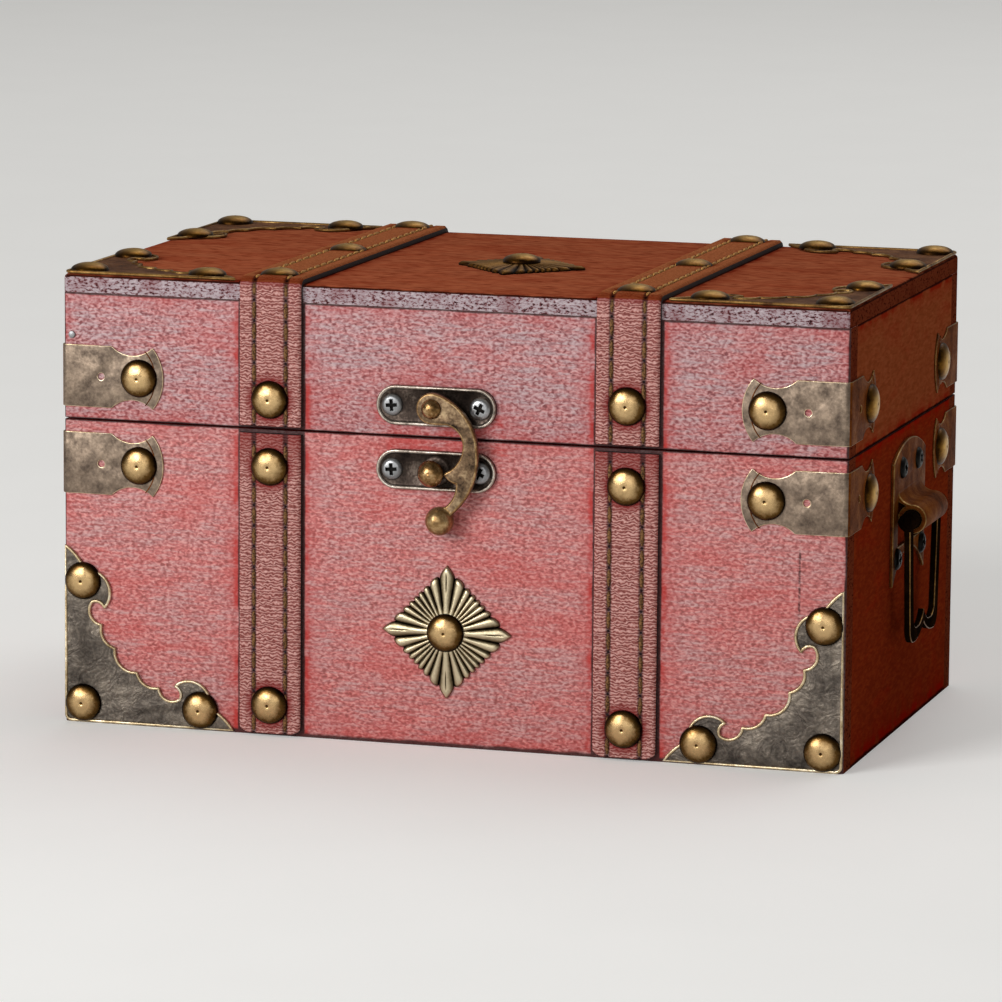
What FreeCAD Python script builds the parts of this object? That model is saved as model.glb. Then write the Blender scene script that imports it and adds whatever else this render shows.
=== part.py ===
import FreeCAD, Part
import math
import os
from collections import namedtuple
from itertools import product

from FreeCAD import Vector

# A small treasure chest: a hinged wooden box with leather straps, stamped metal corners,
# a swing-hook latch and a drop handle on each end. Millimetres, front towards -Y, underside at Z = 0.

# Painted boards
WIDTH = 220.0
DEPTH = 130.0
HEIGHT = 124.0
SEAM_HEIGHT = 84.0
SEAM_GAP = 0.5
WALL = 8.0
TOP_BOARD = 5.0
FLOOR_BOARD = 5.0
EDGE_RADIUS = 1.2

# Round-headed nails with square shanks
NAIL_DIAMETER = 10.5
NAIL_RISE = 2.2
NAIL_CROWN = 1.3
NAIL_SHANK = 1.4
NAIL_BITE = 4.4
NAIL_FIT = 0.05
NAIL_INSET = 5.6
NAIL_SIDES = 16
NAIL_RINGS = 3

# Leather straps
STRAP_SPACING = 100.0
STRAP_WIDTH = 17.5
STRAP_THICK = 1.8
STRAP_END_GAP = 0.8
STRAP_CORNER = 2.0
STRAP_NAIL_BASE_TOP = 9.8
STRAP_NAIL_BASE_FOOT = 8.6
STRAP_NAIL_LID_LEFT = 8.0
STRAP_NAIL_LID_RIGHT = 11.2
STRAP_NAIL_BACK = 7.5
STRAP_NAIL_TOP_INSET = 6.4

# Brackets round the upright corners, above and below the seam
BRACKET_OFFSET = 12.0
BRACKET_HEIGHT = 17.0
BRACKET_LEG = 29.0
BRACKET_THICK = 0.5
BRACKET_NAIL = 22.0
BRACKET_BITE_LENGTH = 11.8
BRACKET_BITE_DEPTH = 2.4
BRACKET_TAIL = 3.1
BRACKET_SPARE_HOLE = 1.0
BRACKET_SPARE_AT = 11.0

# Scalloped plates on the lower front corners and the four top corners
PLATE_STRAP_GAP = 2.25
PLATE_THICK = 0.5
PLATE_MARGIN = 0.6
PLATE_CORNER = 1.5
PLATE_NAIL_FROM_TIP = 9.4
PLATE_SAG = 1.6
# The inside edge from one tip to the middle scallop, drawn for a leg of this length: each arc's middle
# and end, as the distance in from the plate's straight edge and down from its tip.
PLATE_DRAWN_LEG = 49.0
PLATE_HORN = (
    ((3.2, 2.2), (6.2, 6.6)),
    ((13.0, 10.4), (11.8, 16.6)),
    ((10.1, 15.0), (8.2, 15.2)),
    ((7.5, 18.6), (10.9, 21.5)),
    ((11.6, 25.6), (14.8, 27.8)),
)

# Fluted diamond ornaments
ORNAMENT_SPAN = 36.4
ORNAMENT_RAYS = 28
ORNAMENT_RISE = 1.7
ORNAMENT_HUB = 4.4
ORNAMENT_RIDGE = 1.0
ORNAMENT_VALLEY = 0.5
ORNAMENT_SCALLOP = 0.93
FRONT_ORNAMENT_HEIGHT = 31.6
TOP_ORNAMENT_X = 3.4
TOP_ORNAMENT_Y = -9.0

# Swing-hook latch
LATCH_X = -3.2
LATCH_ABOVE_SEAM = 8.8
CATCH_BELOW_SEAM = 8.6
LATCH_LENGTH = 33.6
LATCH_HEIGHT = 10.8
LATCH_FLOOR = 0.8
LATCH_RIM = 0.6
LATCH_RIM_WIDTH = 0.9
LATCH_BOSS_RADIUS = 4.6
LATCH_SCREW_SPACING = 24.6
HOOK_STAND_OFF = 3.3
HOOK_THICK = 2.2
HOOK_EYE_RADIUS = 4.3
HOOK_BALL_RADIUS = 3.9
HOOK_PLAY = 0.1
HOOK_SHOULDER = 20.5  # degrees from the top of the eye, on the right, where the arm leaves it
HOOK_LEAVES_EYE = 4.2
HOOK_BALL_AT = (2.2, -12.9)
# The arm round the post, counted from the post's axis: each arc as its middle and its end.
HOOK_OUTSIDE = (((9.4, 16.0), (12.9, 6.4)), ((12.0, -1.8), (5.2, -11.4)))
HOOK_NECK = (2.3, -9.8)
HOOK_UNDER_BARB = (((5.9, -6.6), (6.9, -2.6)), ((5.6, -2.2), (4.4, -1.3)))
HOOK_BARB = (3.1, 0.1)
HOOK_INSIDE = ((7.3, 3.2), (8.7, 8.2))
HOOK_THROAT = (7.3, 11.4)
RIVET_RADIUS = 1.4
RIVET_HEAD_RADIUS = 2.8
RIVET_HEAD_RISE = 1.8
POST_NECK_RADIUS = 2.3
POST_HEAD_RADIUS = 3.7
POST_HEAD_RISE = 2.4
POST_HEAD_GAP = 0.4

# Screws
SCREW_HEAD_RADIUS = 2.7
SCREW_HEAD_RISE = 1.1
SCREW_SHANK_RADIUS = 1.1
SCREW_BITE = 6.0
SCREW_FIT = 0.05
SCREW_CROSS_LENGTH = 3.2
SCREW_CROSS_WIDTH = 0.8
SCREW_CROSS_DEPTH = 0.7
SCREW_CROWN = 1.7
SCREW_SIDES = 12
SCREW_RINGS = 2

# Drop handles on the ends
HANDLE_Y = 4.0
HANDLE_BELOW_SEAM = 24.0
HANDLE_WIDTH = 38.0
HANDLE_SHOULDER = 15.5
HANDLE_CROWN = 20.4
HANDLE_TAIL = 18.4
HANDLE_ARCH = 10.0
HANDLE_THICK = 1.0
HANDLE_SCREW_HALF = 9.4
HANDLE_SCREW_UP = 13.4
HANDLE_SCREW_LOW_HALF = 14.6
HANDLE_SCREW_DOWN = 11.0
KNUCKLE_LENGTH = 27.0
KNUCKLE_RADIUS = 4.0
KNUCKLE_OFFSET = 4.8
TONGUE_ROOT = 7.5
TONGUE_LAP = 1.0
TONGUE_THICK = 2.6
TONGUE_BEND = (2.6, 0.7)
WINDOW_DROP = 8.0
BAIL_BAR_RADIUS = 2.5
BAIL_PLAY = 0.1
BAIL_THICK = 1.8
BAIL_LEG_WIDTH = 4.2
BAIL_LEG_HALF = 17.4
BAIL_FOOT_HALF = 14.9
BAIL_DROP = 34.2
BAIL_CUSP = 26.8
BAIL_BAR_DEPTH = 3.8
BAIL_END_GAP = 0.4
BAIL_CORNER = 5.0
BAIL_CORNER_SWELL = (1.3, 2.0)
BAIL_BRACE = (5.4, 0.9)
BAIL_INNER_CORNER = 2.4
BAIL_INNER_CORNER_CUT = (1.8, 0.5)
BAIL_INNER_LOBE = 7.7
BAIL_INNER_BRACE = (3.2, 0.8)

# Hinges on the back
HINGE_MARGIN = 2.125
HINGE_LEAF = 13.0
HINGE_THICK = 0.9
HINGE_KNUCKLE_RADIUS = 1.9
HINGE_STAND_OFF = 0.3
HINGE_PIN_RADIUS = 0.9
HINGE_PIN_PLAY = 0.05
HINGE_PIN_HEAD = 0.6
HINGE_SIDE_GAP = 0.2
HINGE_CLEAR = 0.4
HINGE_SCREW_SPREAD = 0.6  # the screws' spacing as a share of the leaf's width
HINGE_SCREW_OUT = 8.4
HINGE_SCREW_HEAD_RADIUS = 2.0
HINGE_SCREW_HEAD_RISE = 0.8

# Places that several pieces share
RIGHT = WIDTH / 2
BACK = DEPTH / 2
LID_FOOT = SEAM_HEIGHT + SEAM_GAP
SEAM_MIDDLE = SEAM_HEIGHT + SEAM_GAP / 2
STRAP_X = STRAP_SPACING / 2
LID_BRACKET_HEIGHT = SEAM_MIDDLE + BRACKET_OFFSET
BASE_BRACKET_HEIGHT = SEAM_MIDDLE - BRACKET_OFFSET
LATCH_Z = SEAM_HEIGHT + LATCH_ABOVE_SEAM
CATCH_Z = SEAM_HEIGHT - CATCH_BELOW_SEAM
HANDLE_Z = SEAM_HEIGHT - HANDLE_BELOW_SEAM
HINGE_Y = BACK + HINGE_KNUCKLE_RADIUS + HINGE_STAND_OFF
STRAP_EDGE = STRAP_X + STRAP_WIDTH / 2
PLATE_LEG = RIGHT - STRAP_EDGE - PLATE_STRAP_GAP
PLATE_NAIL = PLATE_LEG - PLATE_NAIL_FROM_TIP
BRACKET_END = RIGHT - BRACKET_LEG
HINGE_WIDTH = BRACKET_END - STRAP_EDGE - 2 * HINGE_MARGIN
HINGE_X = (BRACKET_END + STRAP_EDGE) / 2
HINGE_SCREW_HALF = HINGE_SCREW_SPREAD * HINGE_WIDTH / 2
OVERCUT = 1.0
SAME_PLACE = 0.01

UP = Vector(0, 0, 1)
FRONTWARD = Vector(0, -1, 0)
BACKWARD = Vector(0, 1, 0)
RIGHTWARD = Vector(1, 0, 0)
SIDES = {"left": -1, "right": 1}
ENDS = {"front": -1, "back": 1}

# A fastener: where its axis meets the wood, which way its head faces, and how thick the piece under it is.
Fastener = namedtuple("Fastener", "foot out seat")


# Drawing helpers
def outline(place, start, *steps):
    """A flat face: each step is a corner to run straight to, or an arc's middle and its end."""
    edges = []
    at = start
    for step in steps:
        arc = isinstance(step[0], tuple)
        end = step[1] if arc else step
        if arc:
            edges.append(Part.Arc(place(*at), place(*step[0]), place(*end)).toShape())
        else:
            edges.append(Part.LineSegment(place(*at), place(*end)).toShape())
        at = end
    if at != start:
        edges.append(Part.LineSegment(place(*at), place(*start)).toShape())
    return Part.Face(Part.Wire(edges))


def walked_back(start, arcs, flip):
    """A run of arcs walked back from its end to its start, with every point flipped."""
    corners = [start] + [end for _, end in arcs]
    middles = [middle for middle, _ in arcs]
    return [(flip(middle), flip(corner)) for middle, corner in zip(middles[::-1], corners[-2::-1])]


def turned(*corners):
    """A body of revolution about Z from a profile of (radius, height) corners."""
    face = outline(lambda r, h: Vector(r, 0, h), *corners)
    return face.revolve(Vector(), UP, 360)


def dome(radius, foot, rise):
    """The arc from the rim of a round head to its top: its middle and its end, as (radius, height)."""
    sphere = (radius**2 + rise**2) / (2 * rise)
    half_turn = math.asin(radius / sphere) / 2
    middle = (sphere * math.sin(half_turn), foot + rise - sphere * (1 - math.cos(half_turn)))
    return middle, (0, foot + rise)


def faceted(sides, *rings):
    """A many-sided body about Z through rings of (radius, height), from its flat foot to its flat top."""
    angles = [2 * math.pi * (k + 0.5) / sides for k in range(sides)]
    loops = [[Vector(r * math.cos(a), r * math.sin(a), h) for a in angles] for r, h in rings]
    faces = [loops[0], loops[-1]]
    for lower, upper in zip(loops, loops[1:]):
        for k in range(sides):
            n = (k + 1) % sides
            faces.append([lower[k], lower[n], upper[n], upper[k]])
    return solid_of(faces)


def domed(sides, rings, radius, rise, crown):
    """A many-sided head: its rings follow an ellipse from the rim up to a small flat crown."""
    last = math.acos(crown / radius)
    turns = [last * k / rings for k in range(rings + 1)]
    return faceted(sides, *[(radius * math.cos(t), rise * math.sin(t) / math.sin(last)) for t in turns])


def solid_of(loops):
    """A solid closed by flat faces, each given by its corners in order."""
    solid = Part.Solid(Part.Shell([Part.Face(Part.makePolygon(loop + loop[:1])) for loop in loops]))
    if solid.Volume < 0:
        solid.reverse()
    return solid


def box(low, high):
    """A block between two opposite corners."""
    size = [b - a for a, b in zip(low, high)]
    return Part.makeBox(*size, Vector(*low))


def drum(radius, start, direction, length):
    """A round bar from a point along a direction."""
    return Part.makeCylinder(radius, length, start, direction)


def facing(shape, fastener):
    """A shape drawn upright at the origin, stood on a fastener's foot and turned to face out."""
    stand = FreeCAD.Placement(fastener.foot, FreeCAD.Rotation(UP, fastener.out))
    placed = shape.copy()
    placed.Placement = stand.multiply(shape.Placement)
    return placed


def rounded(shape, radius, picks):
    """The shape with a fillet on each edge that the test picks by its two end points."""
    edges = [e for e in shape.Edges if picks(e.Vertexes[0].Point, e.Vertexes[-1].Point)]
    return shape.makeFillet(radius, edges)


def drilled(shape, holes):
    """The shape with the holes taken out."""
    return shape.cut(Part.makeCompound(holes)) if holes else shape


def export(name, *solids):
    """Write one named piece, or one named group of like pieces."""
    shape = solids[0] if len(solids) == 1 else Part.makeCompound(solids)
    shape.exportStep(os.path.join("parts", name + ".step"))


# Nails and screws
def nail(fastener):
    """A domed head on a square shank."""
    head = domed(NAIL_SIDES, NAIL_RINGS, NAIL_DIAMETER / 2, NAIL_RISE, NAIL_CROWN)
    head.translate(UP * fastener.seat)
    half = NAIL_SHANK / 2
    shank = box((-half, -half, -NAIL_BITE), (half, half, fastener.seat))
    return facing(head.fuse(shank), fastener)


def nail_hole(fastener):
    """The square hole that a nail's shank fills."""
    half = NAIL_SHANK / 2 + NAIL_FIT
    return facing(box((-half, -half, -NAIL_BITE), (half, half, fastener.seat + OVERCUT)), fastener)


def screw(fastener, head_radius=SCREW_HEAD_RADIUS, head_rise=SCREW_HEAD_RISE):
    """A pan head with a cross recess on a round shank."""
    share = head_radius / SCREW_HEAD_RADIUS
    head = domed(SCREW_SIDES, SCREW_RINGS, head_radius, head_rise, SCREW_CROWN * share)
    along = SCREW_CROSS_LENGTH * share / 2
    across = SCREW_CROSS_WIDTH * share / 2
    floor = head_rise - SCREW_CROSS_DEPTH * share
    roof = head_rise + OVERCUT
    bars = [box((-a, -b, floor), (a, b, roof)) for a, b in ((along, across), (across, along))]
    head = head.cut(bars[0].fuse(bars[1]))
    head.translate(UP * fastener.seat)
    shank = faceted(SCREW_SIDES, (SCREW_SHANK_RADIUS, -SCREW_BITE), (SCREW_SHANK_RADIUS, fastener.seat))
    return facing(head.fuse(shank), fastener)


def screw_hole(fastener):
    """The hole that a screw's shank fills."""
    radius = SCREW_SHANK_RADIUS + SCREW_FIT
    return facing(faceted(SCREW_SIDES, (radius, -SCREW_BITE), (radius, fastener.seat + OVERCUT)), fastener)


# Where each group of fasteners sits
def strap_nails(height, end):
    """A nail through both straps at one height on the front or the back."""
    out = Vector(0, end, 0)
    feet = {side: Vector(sign * STRAP_X, end * BACK, height) for side, sign in SIDES.items()}
    return {side: Fastener(foot, out, STRAP_THICK) for side, foot in feet.items()}


def bracket_nails(side, end, height):
    """The nails through a bracket's front or back leg and its side leg."""
    sx, sy = SIDES[side], ENDS[end]
    across = Vector(sx * (RIGHT - BRACKET_NAIL), sy * BACK, height)
    along = Vector(sx * RIGHT, sy * (BACK - BRACKET_NAIL), height)
    legs = ((across, Vector(0, sy, 0)), (along, Vector(sx, 0, 0)))
    return [Fastener(foot, out, BRACKET_THICK) for foot, out in legs]


def plate_nails(place, out):
    """The three nails through a scalloped plate: the corner and the end of each leg."""
    spots = ((NAIL_INSET, NAIL_INSET), (NAIL_INSET, PLATE_NAIL), (PLATE_NAIL, NAIL_INSET))
    return [Fastener(place(*spot), out, PLATE_THICK) for spot in spots]


def latch_screws(height):
    """The two screws of a latch or catch plate."""
    half = LATCH_SCREW_SPACING / 2
    return [Fastener(Vector(LATCH_X + s * half, -BACK, height), FRONTWARD, LATCH_FLOOR) for s in (-1, 1)]


def handle_screws(sign):
    """The four screws of a handle plate."""
    spots = ((HANDLE_SCREW_HALF, HANDLE_SCREW_UP), (HANDLE_SCREW_LOW_HALF, -HANDLE_SCREW_DOWN))
    places = [(s * half, rise) for half, rise in spots for s in (-1, 1)]
    feet = [Vector(sign * RIGHT, HANDLE_Y + u, HANDLE_Z + v) for u, v in places]
    return [Fastener(foot, Vector(sign, 0, 0), HANDLE_THICK) for foot in feet]


def hinge_screws(sign, upward):
    """The two screws of one hinge leaf, on the lid (upward 1) or the base (upward -1)."""
    height = SEAM_MIDDLE + upward * HINGE_SCREW_OUT
    feet = [Vector(sign * HINGE_X + s * HINGE_SCREW_HALF, BACK, height) for s in (-1, 1)]
    return [Fastener(foot, BACKWARD, HINGE_THICK) for foot in feet]


def front_plate_place(sign):
    """Points on the front face, counted in from a lower corner."""
    return lambda u, v: Vector(sign * (RIGHT - u), -BACK, v)


def top_plate_place(sx, sy):
    """Points on the top face, counted in from one of its corners."""
    return lambda u, v: Vector(sx * (RIGHT - u), sy * (BACK - v), HEIGHT)


STRAP_NAILS = {
    "base_front": [
        strap_nails(SEAM_HEIGHT - STRAP_NAIL_BASE_TOP, -1),
        strap_nails(STRAP_NAIL_BASE_FOOT, -1),
    ],
    "base_back": [
        strap_nails(SEAM_HEIGHT - STRAP_NAIL_BACK, 1),
        strap_nails(STRAP_NAIL_BASE_FOOT, 1),
    ],
    "lid_back": [strap_nails(LID_FOOT + STRAP_NAIL_BACK, 1)],
    "lid_front": [{
        "left": strap_nails(LID_FOOT + STRAP_NAIL_LID_LEFT, -1)["left"],
        "right": strap_nails(LID_FOOT + STRAP_NAIL_LID_RIGHT, -1)["right"],
    }],
    "lid_top": [
        {side: Fastener(Vector(sign * STRAP_X, y, HEIGHT), UP, STRAP_THICK) for side, sign in SIDES.items()}
        for y in (STRAP_NAIL_TOP_INSET - BACK, 0, BACK - STRAP_NAIL_TOP_INSET)
    ],
}
CORNERS = list(product(SIDES, ENDS))
BRACKET_NAILS = {
    (level, side, end): bracket_nails(side, end, height)
    for level, height in (("base", BASE_BRACKET_HEIGHT), ("lid", LID_BRACKET_HEIGHT))
    for side, end in CORNERS
}
FRONT_PLATE_NAILS = {side: plate_nails(front_plate_place(sign), FRONTWARD) for side, sign in SIDES.items()}
TOP_PLATE_NAILS = {
    (side, end): plate_nails(top_plate_place(SIDES[side], ENDS[end]), UP) for side, end in CORNERS
}
FRONT_ORNAMENT_NAIL = Fastener(Vector(0, -BACK, FRONT_ORNAMENT_HEIGHT), FRONTWARD, ORNAMENT_RISE)
TOP_ORNAMENT_NAIL = Fastener(Vector(TOP_ORNAMENT_X, TOP_ORNAMENT_Y, HEIGHT), UP, ORNAMENT_RISE)


def strap_nails_on(*faces):
    """Every strap nail on the named faces."""
    return [fastener for face in faces for row in STRAP_NAILS[face] for fastener in row.values()]


def bracket_nails_on(level):
    """Every bracket nail of the base or of the lid."""
    return [fastener for key, pair in BRACKET_NAILS.items() if key[0] == level for fastener in pair]


# Boards
def outer_upright(a, b):
    """Whether an edge is one of the box's four outside upright edges."""
    return all(max(abs(abs(p.x) - RIGHT), abs(abs(p.y) - BACK)) < SAME_PLACE for p in (a, b))


def rail(end, low, high, holes):
    """A front or back board: it covers the ends of the side boards and its outside edges are eased."""
    inside, outside = sorted((ENDS[end] * (BACK - WALL), ENDS[end] * BACK))
    board = box((-RIGHT, inside, low), (RIGHT, outside, high))
    return drilled(rounded(board, EDGE_RADIUS, outer_upright), holes)


def cheek(side, low, high, holes):
    """A side board, held between the front and back boards."""
    inside, outside = sorted((SIDES[side] * (RIGHT - WALL), SIDES[side] * RIGHT))
    return drilled(box((inside, WALL - BACK, low), (outside, BACK - WALL, high)), holes)


def top_board(holes):
    """The lid's top, laid over the four boards of the lid, with its upper edges eased."""
    board = box((-RIGHT, -BACK, HEIGHT - TOP_BOARD), (RIGHT, BACK, HEIGHT))

    def eased(a, b):
        return outer_upright(a, b) or min(a.z, b.z) > HEIGHT - SAME_PLACE

    return drilled(rounded(board, EDGE_RADIUS, eased), holes)


def holes_on(fasteners, make, axis, sign):
    """The holes of those fasteners that face along one axis and sign."""
    return [make(f) for f in fasteners if getattr(f.out, axis) * sign > 0.5]


def build_boards():
    """The five boards of the base and the five of the lid, drilled for what is fixed to them."""
    base_nails = strap_nails_on("base_front", "base_back") + bracket_nails_on("base")
    base_nails += FRONT_PLATE_NAILS["left"] + FRONT_PLATE_NAILS["right"] + [FRONT_ORNAMENT_NAIL]
    base_screws = latch_screws(CATCH_Z)
    lid_nails = strap_nails_on("lid_front", "lid_back", "lid_top") + bracket_nails_on("lid")
    lid_nails += [TOP_ORNAMENT_NAIL]
    for nails in TOP_PLATE_NAILS.values():
        lid_nails += nails
    lid_screws = latch_screws(LATCH_Z)
    for sign in SIDES.values():
        base_screws += handle_screws(sign) + hinge_screws(sign, -1)
        lid_screws += hinge_screws(sign, 1)
    levels = (
        ("base", 0, SEAM_HEIGHT, base_nails, base_screws),
        ("lid", LID_FOOT, HEIGHT - TOP_BOARD, lid_nails, lid_screws),
    )
    for level, low, high, nails, screws in levels:
        for end, sign in ENDS.items():
            holes = holes_on(nails, nail_hole, "y", sign) + holes_on(screws, screw_hole, "y", sign)
            export(f"{level}_{end}_panel", rail(end, low, high, holes))
        for side, sign in SIDES.items():
            holes = holes_on(nails, nail_hole, "x", sign) + holes_on(screws, screw_hole, "x", sign)
            export(f"{level}_{side}_panel", cheek(side, low, high, holes))
    floor_corner = (RIGHT - WALL, BACK - WALL)
    export("base_bottom_panel", box((-floor_corner[0], -floor_corner[1], 0), (*floor_corner, FLOOR_BOARD)))
    export("lid_top_panel", top_board(holes_on(lid_nails, nail_hole, "z", 1)))


# Straps
def base_strap(sign, end, nails):
    """A strap up one face of the base, with its lower corners rounded."""
    half, r = STRAP_WIDTH / 2, STRAP_CORNER
    low, high = STRAP_END_GAP, SEAM_HEIGHT - STRAP_END_GAP
    bend = r * (1 - math.sqrt(0.5))
    face = outline(
        lambda u, v: Vector(sign * STRAP_X + u, end * BACK, v),
        (-half, high),
        (-half, low + r),
        ((bend - half, low + bend), (r - half, low)),
        (half - r, low),
        ((half - bend, low + bend), (half, low + r)),
        (half, high),
    )
    return drilled(face.extrude(Vector(0, end * STRAP_THICK, 0)), [nail_hole(f) for f in nails])


def lid_strap(sign, nails):
    """A strap that runs up the lid's front, over the top and down its back."""
    r, t = EDGE_RADIUS, STRAP_THICK
    low = LID_FOOT + STRAP_END_GAP
    bend = r * (1 - math.sqrt(0.5))
    out = (r + t) * math.sqrt(0.5) - r
    face = outline(
        lambda u, v: Vector(sign * STRAP_X - STRAP_WIDTH / 2, u, v),
        (-BACK, low),
        (-BACK, HEIGHT - r),
        ((bend - BACK, HEIGHT - bend), (r - BACK, HEIGHT)),
        (BACK - r, HEIGHT),
        ((BACK - bend, HEIGHT - bend), (BACK, HEIGHT - r)),
        (BACK, low),
        (BACK + t, low),
        (BACK + t, HEIGHT - r),
        ((BACK + out, HEIGHT + out), (BACK - r, HEIGHT + t)),
        (r - BACK, HEIGHT + t),
        ((-BACK - out, HEIGHT + out), (-BACK - t, HEIGHT - r)),
        (-BACK - t, low),
    )
    return drilled(face.extrude(Vector(STRAP_WIDTH, 0, 0)), [nail_hole(f) for f in nails])


def build_straps():
    """Two straps: each in three pieces, cut at the seam."""
    for side, sign in SIDES.items():
        for end, facing_sign in ENDS.items():
            nails = [row[side] for row in STRAP_NAILS["base_" + end]]
            export(f"base_{end}_strap_{side}", base_strap(sign, facing_sign, nails))
        nails = [row[side] for face in ("lid_front", "lid_top", "lid_back") for row in STRAP_NAILS[face]]
        export(f"lid_strap_{side}", lid_strap(sign, nails))
    export("base_strap_nails", *[nail(f) for f in strap_nails_on("base_front", "base_back")])
    export("lid_strap_nails", *[nail(f) for f in strap_nails_on("lid_front", "lid_top", "lid_back")])


# Corner brackets
def bracket_leg(place, out):
    """One leg of a bracket: a band with a bite in each edge and a flared, curved end."""
    half = BRACKET_HEIGHT / 2
    flare = BRACKET_LEG - BRACKET_TAIL
    bite = flare - BRACKET_BITE_LENGTH
    middle = (flare + bite) / 2
    face = outline(
        place,
        (EDGE_RADIUS, -half),
        (bite, -half),
        ((middle, BRACKET_BITE_DEPTH - half), (flare, -half)),
        ((BRACKET_LEG, 0), (flare, half)),
        ((middle, half - BRACKET_BITE_DEPTH), (bite, half)),
        (EDGE_RADIUS, half),
    )
    leg = face.extrude(out * BRACKET_THICK)
    depths = (-OVERCUT, BRACKET_THICK + OVERCUT)
    spare = faceted(SCREW_SIDES, *[(BRACKET_SPARE_HOLE, depth) for depth in depths])
    return leg.cut(facing(spare, Fastener(place(BRACKET_SPARE_AT, 0), out, 0)))


def bracket(side, end, height, nails):
    """A sheet-metal angle folded round an upright edge of the box."""
    sx, sy = SIDES[side], ENDS[end]
    across = bracket_leg(lambda s, h: Vector(sx * (RIGHT - s), sy * BACK, height + h), Vector(0, sy, 0))
    along = bracket_leg(lambda s, h: Vector(sx * RIGHT, sy * (BACK - s), height + h), Vector(sx, 0, 0))
    centre = Vector(sx * (RIGHT - EDGE_RADIUS), sy * (BACK - EDGE_RADIUS), height - BRACKET_HEIGHT / 2)
    inner, outer = EDGE_RADIUS, EDGE_RADIUS + BRACKET_THICK
    turn = math.sqrt(0.5)
    fold = outline(
        lambda u, v: centre + Vector(sx * u, sy * v, 0),
        (inner, 0),
        (outer, 0),
        ((outer * turn, outer * turn), (0, outer)),
        (0, inner),
        ((inner * turn, inner * turn), (inner, 0)),
    ).extrude(UP * BRACKET_HEIGHT)
    whole = across.fuse([along, fold]).removeSplitter()
    return drilled(whole, [nail_hole(f) for f in nails])


def build_brackets():
    """Eight brackets, and their nails in two groups."""
    for (level, side, end), nails in BRACKET_NAILS.items():
        height = LID_BRACKET_HEIGHT if level == "lid" else BASE_BRACKET_HEIGHT
        export(f"{level}_bracket_{end}_{side}", bracket(side, end, height, nails))
    for level in ("base", "lid"):
        export(f"{level}_bracket_nails", *[nail(f) for f in bracket_nails_on(level)])


# Scalloped corner plates
def corner_plate(place, out, nails):
    """A right-angled plate: straight outside, and inside a curled horn at each end and three scallops."""
    m, r = PLATE_MARGIN, PLATE_CORNER
    bend = r * (1 - math.sqrt(0.5))
    tip = (m, PLATE_LEG)
    share = PLATE_LEG / PLATE_DRAWN_LEG
    edge = [tuple((u * share, PLATE_LEG - v * share) for u, v in arc) for arc in PLATE_HORN]
    high_cusp = edge[-1][1]
    sag = sum(high_cusp) / 2 - PLATE_SAG * share
    face = outline(
        place,
        (m, m + r),
        tip,
        *edge,
        ((sag, sag), high_cusp[::-1]),
        *walked_back(tip, edge, lambda spot: spot[::-1]),
        (m + r, m),
        ((m + bend, m + bend), (m, m + r)),
    )
    return drilled(face.extrude(out * PLATE_THICK), [nail_hole(f) for f in nails])


def build_corner_plates():
    """Two plates on the front, four on the top, and their nails with the ornaments' nails."""
    for side, sign in SIDES.items():
        place = front_plate_place(sign)
        export(f"front_corner_plate_{side}", corner_plate(place, FRONTWARD, FRONT_PLATE_NAILS[side]))
    for side, end in CORNERS:
        place = top_plate_place(SIDES[side], ENDS[end])
        export(f"top_corner_plate_{end}_{side}", corner_plate(place, UP, TOP_PLATE_NAILS[side, end]))
    front = FRONT_PLATE_NAILS["left"] + FRONT_PLATE_NAILS["right"] + [FRONT_ORNAMENT_NAIL]
    top = [f for nails in TOP_PLATE_NAILS.values() for f in nails] + [TOP_ORNAMENT_NAIL]
    export("base_plate_nails", *[nail(f) for f in front])
    export("lid_plate_nails", *[nail(f) for f in top])


# Fluted ornaments
def ornament(fastener):
    """A diamond of rays: ridges and valleys run from a flat hub down to a scalloped edge."""
    count = 2 * ORNAMENT_RAYS
    hub, rim, foot = [], [], []
    for k in range(count):
        angle = 2 * math.pi * k / count
        c, s = math.cos(angle), math.sin(angle)
        reach = ORNAMENT_SPAN / 2 / (abs(c) + abs(s))
        ridge = k % 2 == 0
        edge = reach if ridge else reach * ORNAMENT_SCALLOP
        hub.append(Vector(ORNAMENT_HUB * c, ORNAMENT_HUB * s, ORNAMENT_RISE))
        rim.append(Vector(edge * c, edge * s, ORNAMENT_RIDGE if ridge else ORNAMENT_VALLEY))
        foot.append(Vector(edge * c, edge * s, 0))
    loops = [hub, foot]
    for k in range(count):
        n = (k + 1) % count
        loops += [[hub[k], rim[k], rim[n]], [hub[k], rim[n], hub[n]], [foot[k], foot[n], rim[n], rim[k]]]
    return drilled(facing(solid_of(loops), fastener), [nail_hole(fastener)])


# Latch
def lozenge(length, height, thick):
    """A flat plate with half-round ends, lying at the origin."""
    r = height / 2
    a = length / 2 - r
    face = outline(
        lambda u, v: Vector(u, v, 0),
        (-a, -r),
        (a, -r),
        ((a + r, 0), (a, r)),
        (-a, r),
        ((-a - r, 0), (-a, -r)),
    )
    return face.extrude(UP * thick)


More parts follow.
